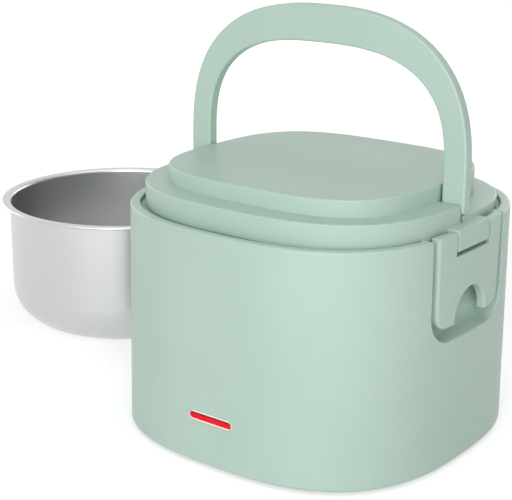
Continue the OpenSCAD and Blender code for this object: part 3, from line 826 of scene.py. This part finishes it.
@dataclass
class Housing:
    """The heated base's outer shell, with its two latch pockets, the lamp slot and the inlet opening."""

    outline: Outline = Outline(85.0, 85.7, 2.7)
    draft: float = 172.4 / 170
    base: float = 1.5
    rim: float = 113.0
    wall: float = 2.8
    lip: float = 4.5
    ledge: float = 6.4
    deck: float = 108.8
    ledge_low: float = 106.4
    cover_top: float = 4.5
    cover_in: float = 1.6
    rim_round: float = 1.2
    lip_round: float = 0.8
    base_round: float = 1.0
    pocket_half: float = 32.6
    pocket_low: float = 63.2
    pocket_back: float = 76.4
    pocket_corner: float = 14.0
    pocket_wall: float = 2.0
    pocket_round: float = 0.7
    pocket_foot_round: float = 1.2
    pocket_foot: float = 0.8
    lamp_z: float = 24.4
    lamp_size: Pair = (25.0, 4.8)
    lamp_corner: float = 2.35
    lamp_round: float = 0.55
    inlet_z: float = 22.0
    inlet_size: Pair = (27.4, 15.4)
    inlet_corner: float = 3.0
    inlet_round: float = 0.5

    def build(self) -> None:
        """Builds the shell and its openings."""
        shell = self.shell()
        for side in SIDES:
            self.pocket(shell, side)
        self.slot(shell, self.lamp_size, self.lamp_z, -1, self.lamp_corner, self.lamp_round)
        self.slot(shell, self.inlet_size, self.inlet_z, 1, self.inlet_corner, self.inlet_round)
        shell.clean()
        shell.finish(SHELL, "housing", "shell_plastic", ["outer_housing"])

    def inner(self, inset: float, height: float) -> Station:
        """Gives a ring of the shell's inside: the rim's outline made smaller by an inset."""
        return self.outline.smaller(inset).ring(height)

    def outside(self, point: Vector) -> bool:
        """Says whether a point is on the shell's outer face."""
        return self.outline.clear_of([point])

    def shell(self) -> Blank:
        """Pulls the closed shell from one block and rounds its edges.

        Returns:
            The shell, still without its pockets and openings.
        """
        shell = Blank.oval_block("housing_shell", self.outline, self.base, self.rim)
        shell.resize_face(facing(2, -1), (self.draft, self.draft))
        shell.pull(facing(2, 1), [
            self.inner(self.lip, self.rim), self.inner(self.lip, self.deck),
            self.inner(self.ledge, self.deck), self.inner(self.ledge, self.ledge_low),
            self.inner(self.wall, self.ledge_low), self.inner(self.wall, self.cover_top),
            self.inner(self.cover_in, self.cover_top), self.inner(self.cover_in, self.base)])
        shell.pull(every(lambda point: near(point.z, self.base) and self.outline.measure(point) > 1),
                   [self.inner(self.cover_in, self.base)])
        shell.drop_faces(lambda face: len(face.verts) > 4)
        shell.round_off(every(lambda point: near(point.z, self.rim) and self.outside(point)), self.rim_round)
        lip = self.outline.smaller(self.lip)
        shell.round_off(every(lambda point: near(point.z, self.rim) and lip.measure(point) < IN_OUTLINE),
                        self.lip_round, steps=3)
        shell.round_off(every(lambda point: near(point.z, self.base) and self.outside(point)),
                        self.base_round, steps=3)
        return shell

    def on_pocket(self, point: Vector) -> bool:
        """Says whether a point is on the outline of a latch pocket.

        Args:
            point: the place, in millimetres.

        Returns:
            True on the outline, apart from the pocket's foot.
        """
        if abs(point.x) < self.pocket_back + self.pocket_foot:
            return False
        across = abs(point.y)
        turn_y = self.pocket_half - self.pocket_corner
        turn_z = self.pocket_low + self.pocket_corner
        if across > turn_y and point.z < turn_z:
            return near(math.hypot(across - turn_y, point.z - turn_z), self.pocket_corner, ARC_CLOSE)
        return near(across, self.pocket_half) or near(point.z, self.pocket_low)

    def pocket(self, shell: Blank, side: int) -> None:
        """Adds one latch pocket's walls, cuts the pocket and rounds its mouth.

        Args:
            shell: the shell to work on.
            side: 1 for the right side, -1 for the left.
        """
        span = self.pocket_half + self.pocket_wall
        reach = self.outline.smaller(self.wall / 2)
        outer = self.outline.half_x
        walls = [((self.pocket_back - self.pocket_wall, self.pocket_low - self.pocket_wall),
                  self.deck - OVERLAP),
                 ((self.pocket_back + OVERLAP, self.deck - PAST), self.rim)]
        for (start, low), top in walls:
            wall = Blank.block("wall", (side * start, -span, low), (side * outer, span, top))
            wall.work(Blank.oval_block("tool", reach, low - PAST, top + PAST), Blend.KEEP_COMMON)
            shell.work(wall, Blend.JOIN)
        tool = Blank.block("tool", (side * self.pocket_back, -self.pocket_half, self.pocket_low),
                           (side * (outer + THROUGH), self.pocket_half, self.rim + THROUGH))
        tool.round_off(lambda edge: along(edge, 0) and at(2, self.pocket_low)(edge), self.pocket_corner,
                       steps=14)
        tool.round_off(at(0, side * self.pocket_back), self.pocket_foot_round, steps=2)
        shell.work(tool, Blend.CUT)
        outline = every(lambda point: point.x * side > 0 and self.on_pocket(point))
        shell.round_off(lambda edge: outline(edge) and is_sharp(edge), self.pocket_round, steps=3)

    def slot(self, shell: Blank, size: Pair, height: float, way: int, corner: float,
             mouth: float) -> None:
        """Cuts an opening with round corners in the front or the back wall.

        Args:
            shell: the shell to work on.
            size: the opening's width and height.
            height: its middle's height above the table.
            way: -1 for the front wall, 1 for the back wall.
            corner: the radius of its corners.
            mouth: the radius that its outer edge is rounded with.
        """
        face = self.outline.half_y
        tool = Blank.block("tool", (-size[0] / 2, way * (face - THROUGH), height - size[1] / 2),
                           (size[0] / 2, way * (face + THROUGH), height + size[1] / 2))
        tool.round_off(lambda edge: along(edge, 1), corner, steps=8)
        shell.work(tool, Blend.CUT)
        reach = (size[0] / 2 + CLOSE, size[1] / 2 + CLOSE)
        outline = every(lambda point: abs(point.x) < reach[0] and abs(point.z - height) < reach[1]
                        and point.y * way > face - self.wall / 2)
        shell.round_off(lambda edge: outline(edge) and is_sharp(edge), mouth, steps=2)


@dataclass
class Lid:
    """The lid's lower tier with its two lugs, and the raised cap."""

    tier_outline: Outline = Outline(78.7, 76.0, 2.85)
    bottom: float = 111.1
    shelf: float = 122.8
    back: float = 117.3
    step_y: float = -3.4
    step: float = 116.0
    wall: float = 2.4
    cap_outline: Outline = Outline(67.2, 63.3, 3.2)
    cap_top: float = 130.8
    cap_gap: float = 0.3
    opening_in: float = 4.5
    edge_round: float = 0.8
    bearing: Place = (57.2, 3.3, 124.0)
    lug_half: float = 14.4
    lug_low: float = 104.4
    lug_top: float = 114.4
    lug_thick: float = 4.3
    lug_top_round: float = 1.6
    lug_round: float = 0.5
    lug_round_in: float = 3.2
    lug_flat: int = 4
    housing: Housing = field(default_factory=Housing)

    def build(self) -> None:
        """Builds both tiers."""
        tier = self.tier()
        for side in SIDES:
            tier.work(self.lug(side), Blend.JOIN)
            beside = self.cap_outline.half_x - self.wall - self.cap_gap
            tier.work(Blank.block("bearing", (side * self.bearing[0], -self.bearing[1], self.step),
                                  (side * beside, self.bearing[1], self.bearing[2])), Blend.JOIN)
        tier.clean()
        tier.finish(SHELL, "lid", "shell_plastic", ["lid_shell"])
        self.cap().finish(SHELL, "lid", "shell_plastic", ["lid_cap"])

    def back_part(self, from_y: float, low: float, inset: float) -> Blank:
        """Builds the tool for the back shelf: all that is behind a line, above a height and outside the cap.

        Args:
            from_y: the line.
            low: the height.
            inset: how much smaller than the cap the part is that stays.

        Returns:
            The tool.
        """
        reach = self.housing.outline.half_x
        part = Blank.block("tool", (-reach, from_y, low), (reach, reach, self.cap_top))
        stays = self.cap_outline.smaller(inset)
        part.work(Blank.oval_block("hole", stays, low - PAST, self.cap_top + PAST), Blend.CUT)
        return part

    def tier(self) -> Blank:
        """Cuts the lower tier from one block: a front shelf, and a lower back shelf for the folded handle.

        Returns:
            The tier, still without its lugs and bearings.
        """
        ceiling = self.shelf - self.wall
        side = self.tier_outline
        tier = Blank.oval_block("lid_tier", side, self.bottom, self.shelf)
        tier.work(Blank.oval_block("tool", side.smaller(self.wall), self.bottom - PAST, self.step), Blend.CUT)
        hollow = Blank.oval_block("hollow", side.smaller(2 * self.wall), self.step - PAST, ceiling)
        hollow.work(self.back_part(self.step_y - self.wall, self.step, self.wall), Blend.CUT)
        tier.work(hollow, Blend.CUT)
        opening = self.cap_outline.smaller(self.opening_in)
        tier.work(Blank.oval_block("tool", opening, ceiling - PAST, self.shelf + PAST), Blend.CUT)
        tier.work(self.back_part(self.step_y, self.back, 0), Blend.CUT)
        tier.clean()
        tier.round_off(lambda edge: self.is_edge(corners(edge)), self.edge_round)
        tier.clean()
        return tier

    def is_edge(self, ends: list[Vector]) -> bool:
        """Says whether two points bound an outer edge of either shelf or of the step between them.

        Args:
            ends: the two points.

        Returns:
            True for such an edge, and for the step's front edge outside the cap.
        """
        outside = self.tier_outline.clear_of(ends)
        beyond_cap = self.cap_outline.clear_of(ends)
        on_step = all(near(point.y, self.step_y) for point in ends)
        front = all(near(point.z, self.shelf) and point.y < self.step_y + CLOSE for point in ends)
        behind = all(near(point.z, self.back) and point.y > self.step_y - CLOSE for point in ends)
        upright = on_step and all(self.back - CLOSE < point.z for point in ends)
        return outside and (front or behind or upright) or on_step and front and beyond_cap

    def lug(self, side: int) -> Blank:
        """Builds the lug that reaches over the rim and carries a latch pin.

        Args:
            side: 1 for the right side, -1 for the left.

        Returns:
            The lug as a closed solid.
        """
        face_x = self.housing.outline.half_x
        inner = self.tier_outline.half_x - self.wall / 2
        under = self.bottom + OVERLAP
        lug = Blank.block("lug", (inner, -self.lug_half, under), (face_x, self.lug_half, self.lug_top))
        lug.slice((face_x - self.lug_thick, 0, 0), (1, 0, 0))
        lug.draw_out(lambda face: facing(2, -1)(face)
                     and face.calc_center_median().x / MM > face_x - self.lug_thick, self.lug_low - under)
        lug.round_off(every(lambda point: near(point.x, face_x) and near(point.z, self.lug_top)),
                      self.lug_top_round, steps=5)
        outer = every(lambda point: point.x > face_x - self.lug_round_in)
        lug.round_off(lambda edge: outer(edge) and is_sharp(edge, 2 * SHARP), self.lug_round, steps=3)
        lug.wrap([self.lug_flat * step for step in range(-3, 4)], self.housing.outline)
        if side < 0:
            mirror = lug.mirrored("lug_left")
            bpy.data.objects.remove(lug.obj)
            return mirror
        return lug

    def cap(self) -> Blank:
        """Pulls the raised cap, a closed shell with a hollow underside.

        Returns:
            The cap.
        """
        inner = self.cap_outline.smaller(self.wall)
        cap = Blank.oval_block("lid_cap_shell", self.cap_outline, self.shelf, self.cap_top)
        cap.round_off(at(2, self.cap_top), self.edge_round)
        cap.pull(facing(2, -1), [inner.ring(self.shelf), inner.ring(self.cap_top - self.wall)])
        cap.clean()
        return cap


@dataclass
class Handle:
    """The arched carrying handle."""

    pivot: float = 120.7
    top: float = 206.6
    thick: float = 6.2
    leg_out: float = 79.9
    leg: float = 11.8
    band: float = 17.8
    foot: float = 135.8
    outer_power: float = 2.53
    inner_power: float = 2.78
    edge_round: float = 1.1
    arch_steps: int = 28
    sharp: float = math.radians(40)

    def arch(self, name: str, half: float, rise: float, power: float, thick: float, low: float) -> Blank:
        """Makes one arch-shaped solid: a rounded top on straight legs.

        Args:
            name: the solid's name.
            half: its half width.
            rise: the height of its round top.
            power: the top's roundness.
            thick: its size from front to back.
            low: the height of its lower end.

        Returns:
            The solid.
        """
        arch = Blank.block(name, (-half, -thick / 2, self.foot - rise), (half, thick / 2, self.foot + rise))
        arch.oval(power, axis=1, steps=self.arch_steps)
        arch.slice((0, 0, self.foot), (0, 0, -1), clear=True)
        arch.draw_out(facing(2, -1), low - self.foot)
        return arch

    def build(self) -> None:
        """Builds the handle: an arch with round leg ends."""
        rise = self.top - self.foot
        radius = self.thick / 2
        low = self.pivot - radius
        bar = self.arch("handle_bar", self.leg_out, rise, self.outer_power, self.thick, low)
        hollow = self.arch("tool", self.leg_out - self.leg, rise - self.band, self.inner_power,
                           2 * self.thick, low - THROUGH)
        bar.work(hollow, Blend.CUT)
        bar.clean()
        bar.round_off(lambda edge: along(edge, 0) and at(2, low)(edge), radius - SHY, steps=8)
        bar.clean()
        bar.round_off(lambda edge: is_sharp(edge, self.sharp), self.edge_round, steps=5)
        bar.clean()
        bar.finish(SHELL, "handle", "shell_plastic", ["handle"])


@dataclass
class Latch:
    """A side latch: a curved plate with two lobes and a finger arch, hung on a pin at the rim."""

    half: float = 29.3
    thick: float = 4.0
    low: float = 69.6
    top: float = 113.5
    arch: float = 13.8
    tip: float = 1.6
    corner: float = 7.0
    taper: float = 1.2
    notch_half: float = 15.5
    notch_low: float = 102.4
    hook: Pair = (84.4, 87.4)
    hook_half: float = 8.0
    hook_face: float = 78.7
    hook_round: float = 0.6
    face_round: float = 1.4
    notch_round: float = 0.4
    flat: int = 3
    housing: Housing = field(default_factory=Housing)

    def build(self) -> None:
        """Builds the right latch and copies it to the left."""
        right = self.plate()
        left = right.mirrored("latch_plate_left")
        right.finish(SHELL, "latch_right", "shell_plastic", ["latch_right"])
        left.finish(SHELL, "latch_left", "shell_plastic", ["latch_left"])

    def plate(self) -> Blank:
        """Cuts the plate's outline, rounds its edges and bends it to the housing's side.

        Returns:
            The right latch's plate, with its hook.
        """
        face = self.housing.outline.half_x
        back = face - self.thick
        plate = Blank.block("latch_plate_right", (back, -self.half, self.low), (face, self.half, self.top))
        plate.resize_face(facing(2, -1), (1, (self.half - self.taper) / self.half))
        plate.round_off(lambda edge: along(edge, 0) and at(2, self.low)(edge), self.corner, steps=8)
        arch_z = self.low + self.tip
        behind = back - THROUGH
        before = face + THROUGH
        finger = Blank.rod("tool", self.arch, (behind, 0, arch_z), (before, 0, arch_z), sides=72)
        plate.work(finger, Blend.CUT)
        mouth = Blank.block("tool", (behind, -self.arch, self.low - THROUGH), (before, self.arch, arch_z))
        plate.work(mouth, Blend.CUT)
        plate.clean()
        plate.round_off(lambda edge: along(edge, 0) and near(abs(corners(edge)[0].y), self.arch)
                        and at(2, self.low)(edge), self.tip - OVERLAP)
        notch = Blank.block("tool", (behind, -self.notch_half, self.notch_low),
                            (before, self.notch_half, self.top + THROUGH))
        plate.work(notch, Blend.CUT)
        plate.clean()
        plate.round_off(lambda edge: self.front_edge(edge) and not self.in_notch(edge), self.face_round,
                        steps=5)
        plate.round_off(lambda edge: self.front_edge(edge) and self.in_notch(edge), self.notch_round,
                        steps=3)
        hook = Blank.block("hook", (self.hook_face, -self.hook_half, self.hook[0]),
                           (back + PAST, self.hook_half, self.hook[1]))
        hook.round_off(at(0, self.hook_face), self.hook_round, steps=3)
        plate.work(hook, Blend.JOIN)
        # The cuts are a hair off whole millimetres, so that none runs through points that are there already.
        plate.wrap([self.flat * step + CLOSE / 2 for step in range(-9, 10)], self.housing.outline)
        plate.clean()
        return plate

    def front_edge(self, edge: Any) -> bool:
        """Says whether an edge bounds the plate's front face."""
        return at(0, self.housing.outline.half_x)(edge) and is_sharp(edge)

    def in_notch(self, edge: Any) -> bool:
        """Says whether an edge is on the notch that the lug hangs in."""
        return all(abs(point.y) < self.notch_half + CLOSE and point.z > self.notch_low - CLOSE
                   for point in corners(edge))


@dataclass
class Lamp:
    """The red window of the indicator lamp and the pale border round it."""

    size: Pair = (24.8, 4.6)
    window: Pair = (24.5, 3.4)
    set_back: float = 0.3
    dome: tuple[Pair, ...] = ((0.4, 0.2), (0.5, 0.1))
    foot: float = 0.5
    height: float = 24.4
    face: float = -86.2
    flange: float = -82.3
    flange_size: Pair = (29.0, 8.8)
    flange_thick: float = 1.4
    flange_corner: float = 1.0
    border_gap: float = 0.02
    border_clear: float = 0.05

    def build(self) -> None:
        """Builds the window with its domed face and the flange behind the wall, and then its border."""
        lens = self.plate("lamp_window", self.window, self.face + self.set_back, self.flange + self.foot)
        lens.pick(Kind.FACE, facing(1, -1))
        for width, rise in self.dome:
            bpy.ops.mesh.inset(thickness=width * MM, depth=rise * MM)
        lens.leave()
        lens.work(self.plate("flange", self.flange_size, self.flange, self.flange + self.flange_thick,
                             self.flange_corner, 3), Blend.JOIN)
        lens.clean()
        lens.finish(RED_LENS, "housing", "red_lens", ["indicator_lens"])
        # The border glows a little: painted light that keeps it bright in the slot.
        border = self.plate("lamp_border", self.size, self.face, self.flange - self.border_clear)
        room = (self.window[0] + 2 * self.border_gap, self.window[1] + 2 * self.border_gap)
        border.work(self.plate("tool", room, self.face - PAST, self.flange + PAST), Blend.CUT)
        border.clean()
        border.finish(PALE_BORDER, "housing", "red_lens")

    def plate(self, name: str, size: Pair, front: float, back: float, corner: float = 0.0,
              steps: int = 10) -> Blank:
        """Builds a plate in the slot or behind it.

        Args:
            name: the plate's name.
            size: its width and height.
            front: where its front face stands.
            back: where its back face stands.
            corner: the radius of its corners, or 0 for fully round ends.
            steps: the flats in a corner.

        Returns:
            The plate.
        """
        made = Blank.block(name, (-size[0] / 2, front, self.height - size[1] / 2),
                           (size[0] / 2, back, self.height + size[1] / 2))
        made.round_off(lambda edge: along(edge, 1), corner or size[1] / 2 - SHY, steps)
        made.clean()
        return made


@dataclass
class Pot:
    """The spun steel food pot with its rolled rim."""

    centre: Pair = field(default_factory=lambda: middle("food_pot"))
    radius: float = 68.4
    height: float = 75.0
    thick: float = 0.8
    lip: float = 4.8
    curl: float = 0.8
    corner: float = 24.0
    neck_round: float = 1.0
    mouth_round: float = 2.0

    def build(self) -> None:
        """Turns the pot from a disc, with its base on the table's level."""
        foot = (self.radius - self.corner, self.corner)
        neck = (self.radius + self.neck_round, self.height - 2 * self.curl - self.neck_round)
        edge = (self.radius + self.lip - self.curl, self.height - self.curl)
        mouth = (self.radius - self.thick + self.mouth_round, self.height - self.mouth_round)
        spin("steel_pot", (*self.centre, 0), foot[0], [
            *bend(foot, self.corner, -84, 0, 14),
            *bend(neck, self.neck_round, 180, 90, 4),
            *bend(edge, self.curl, -90, 90, 8),
            *bend(mouth, self.mouth_round, 90, 180, 6),
            *bend(foot, self.corner - self.thick, 0, -88, 14),
        ]).finish(POT_STEEL, "pot", "pot_steel", ["food_pot"])


@dataclass
class Well:
    """The spun aluminium well that the pot is heated in."""

    radius: float = 69.2
    thick: float = 1.0
    flange: float = 74.2
    flange_thick: float = 0.8
    flange_round: float = 0.3
    top: float = 110.8
    floor: float = 36.2
    bottom: float = 35.0
    corner: float = 23.0
    mouth_round: float = 1.0
    lead_in: float = 1.2

    def build(self) -> None:
        """Turns the well from a disc, with a flange that rests on the housing's ledge."""
        foot = (self.radius - self.corner, self.floor + self.corner)
        under = self.top - self.flange_thick
        mouth = (self.radius + self.mouth_round, self.top - self.mouth_round)
        spin("well_liner", (0, 0, self.bottom), foot[0], [
            *bend(foot, self.corner + self.thick, -84, 0, 14),
            (self.radius + self.thick, under),
            (self.flange, under),
            (self.flange, self.top - self.flange_round),
            (self.flange - self.flange_round, self.top),
            (self.radius + self.lead_in, self.top),
            *bend(mouth, self.mouth_round, 90, 180, 4),
            *bend(foot, self.corner, 0, -88, 14),
        ]).finish(WELL_ALUMINIUM, "housing", "well_aluminium", ["heating_well"])


@dataclass
class Studio:
    """The floor, the light and the camera, in degrees, millimetres and shares of full light."""

    azimuth: float = 37.246
    elevation: float = 16.957
    roll: float = 0.559
    distance: float = 650.069
    focal_share: float = 1292.998 / 512
    aim: Place = (-31.562, 24.747, 60.0)
    sensor: float = 36.0
    clip: Pair = (10.0, 50000.0)
    floor_size: float = 8000.0
    paper: str = "#E6E6E6"
    floor_far: Pair = (200.0, 1200.0)
    floor_glow: Pair = (0.47, 0.85)
    lit_height: float = 80.0
    even_light: float = 0.26
    dark_side: float = 0.35
    dark_way: Place = (0.8, 0.6, 0.0)

    def build(self) -> None:
        """Sets the stage."""
        self.camera()
        self.floor()
        self.lights()
        self.world()
        bpy.context.scene.view_settings.view_transform = "Standard"

    def camera(self) -> None:
        """Places the camera from its angles, its distance and the offset of its aim."""
        turn, rise, roll = (math.radians(value) for value in (self.azimuth, self.elevation, self.roll))
        back = Vector((math.sin(turn) * math.cos(rise), -math.cos(turn) * math.cos(rise), math.sin(rise)))
        level = Vector((math.cos(turn), math.sin(turn), 0))
        upright = back.cross(level)
        right = level * math.cos(roll) + upright * math.sin(roll)
        up = upright * math.cos(roll) - level * math.sin(roll)
        aim = Vector((0, 0, self.aim[2])) + right * self.aim[0] + up * self.aim[1]
        eye = aim + back * self.distance
        bpy.ops.object.select_all(action="DESELECT")
        bpy.ops.object.camera_add(location=eye * MM)
        camera = bpy.context.object
        camera.name = "camera"
        camera.rotation_euler = Matrix((right, up, back)).transposed().to_euler()
        camera.data.sensor_width = self.sensor
        camera.data.lens = self.focal_share * self.sensor
        camera.data.clip_start, camera.data.clip_end = (reach * MM for reach in self.clip)
        bpy.context.scene.camera = camera

    def floor(self) -> None:
        """Lays a pale floor that shows white to the camera and keeps the object's shadow."""
        bpy.ops.object.select_all(action="DESELECT")
        bpy.ops.mesh.primitive_plane_add(size=self.floor_size * MM)
        floor = bpy.context.object
        floor.name = "floor"
        made = bpy.data.materials.new("paper_backdrop_white")
        made.use_nodes = True
        tree = made.node_tree
        tree.nodes.clear()
        paper = add_node(tree, "ShaderNodeBsdfDiffuse", Color=linear(self.paper)).outputs["BSDF"]
        place = add_node(tree, "ShaderNodeTexCoord").outputs["Object"]
        away = add_node(tree, "ShaderNodeVectorMath", {"operation": "LENGTH"}, {0: place})
        rise = add_node(tree, "ShaderNodeMapRange", {"interpolation_type": "SMOOTHSTEP"},
                        Value=away.outputs["Value"],
                        From_Min=self.floor_far[0] * MM, From_Max=self.floor_far[1] * MM,
                        To_Min=self.floor_glow[0], To_Max=self.floor_glow[1])
        glow = add_node(tree, "ShaderNodeEmission", Strength=rise.outputs["Result"])
        both = add_node(tree, "ShaderNodeAddShader", numbered={0: paper, 1: glow.outputs["Emission"]})
        mix = add_node(tree, "ShaderNodeMixShader", numbered={1: paper, 2: both.outputs["Shader"]},
                       Fac=seen_rays(tree))
        add_node(tree, "ShaderNodeOutputMaterial", Surface=mix.outputs["Shader"])
        floor.data.materials.append(made)

    def lights(self) -> None:
        """Hangs the soft boxes, each with its place and size in metres and its strength in watts."""
        lamps = {
            "front": ((0.2, -1.6, 0.25), 1.0, 6.3),
            "side": ((0.75, -1.1, 0.6), 1.0, 11.2),
            "top": ((0.1, 0.2, 1.6), 1.4, 5.8),
            "back": ((-0.15, 1.6, 0.2), 1.0, 6.0),
            "left": ((-1.6, 0.1, 0.4), 1.0, 4.5),
        }
        for name, (place, size, power) in lamps.items():
            bpy.ops.object.select_all(action="DESELECT")
            bpy.ops.object.light_add(type="AREA", location=place)
            lamp = bpy.context.object
            lamp.name = name
            lamp.data.size = size
            lamp.data.energy = power
            ray = Vector(place) - Vector((0, 0, self.lit_height * MM))
            lamp.rotation_euler = ray.to_track_quat("Z", "Y").to_euler()

    def world(self) -> None:
        """Fills the surroundings with even light, white where the camera or a reflection sees it."""
        world = bpy.data.worlds.new("studio")
        bpy.context.scene.world = world
        world.use_nodes = True
        tree = world.node_tree
        tree.nodes.clear()
        seen = seen_rays(tree)
        way = add_node(tree, "ShaderNodeTexCoord").outputs["Generated"]
        turned = add_node(tree, "ShaderNodeVectorMath", {"operation": "DOT_PRODUCT"},
                          {0: way, 1: self.dark_way})
        shade = add_node(tree, "ShaderNodeMapRange", Value=turned.outputs["Value"],
                         From_Min=0.0, From_Max=1.0, To_Min=1.0, To_Max=self.dark_side)
        mirrored = add_node(tree, "ShaderNodeMapRange", Value=seen, To_Min=self.even_light,
                            To_Max=shade.outputs["Result"])
        direct = add_node(tree, "ShaderNodeLightPath").outputs["Is Camera Ray"]
        strength = add_node(tree, "ShaderNodeMapRange", Value=direct, To_Min=mirrored.outputs["Result"],
                            To_Max=1.0)
        glow = add_node(tree, "ShaderNodeBackground", Color=(1, 1, 1, 1),
                        Strength=strength.outputs["Result"])
        add_node(tree, "ShaderNodeOutputWorld", Surface=glow.outputs["Background"])


def seen_rays(tree: bpy.types.NodeTree) -> bpy.types.NodeSocket:
    """Adds the nodes that tell rays which see the surroundings from rays that only light the object.

    Args:
        tree: the floor's or the world's node tree.

    Returns:
        A socket that is 1 for the camera's rays, for reflections and for refractions, and 0 for others.
    """
    rays = add_node(tree, "ShaderNodeLightPath")
    seen = rays.outputs["Is Camera Ray"]
    for name in ("Is Glossy Ray", "Is Transmission Ray"):
        seen = add_node(tree, "ShaderNodeMath", {"operation": "MAXIMUM"},
                        {0: seen, 1: rays.outputs[name]}).outputs["Value"]
    return seen


def dress_nodes() -> None:
    """Gives every CAD node its finish."""
    for name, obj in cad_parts.items():
        dress(obj, NODE_FINISHES[name])


def main() -> None:
    """Builds every sub-assembly in order."""
    logging.basicConfig(level=logging.INFO, format="%(name)s: %(message)s")
    dress_nodes()
    for assembly in (Housing(), Lid(), Handle(), Latch(), Lamp(), Pot(), Well()):
        assembly.build()
        log.info("%s is done", type(assembly).__name__)
    Studio().build()


if __name__ == "__main__":
    main()
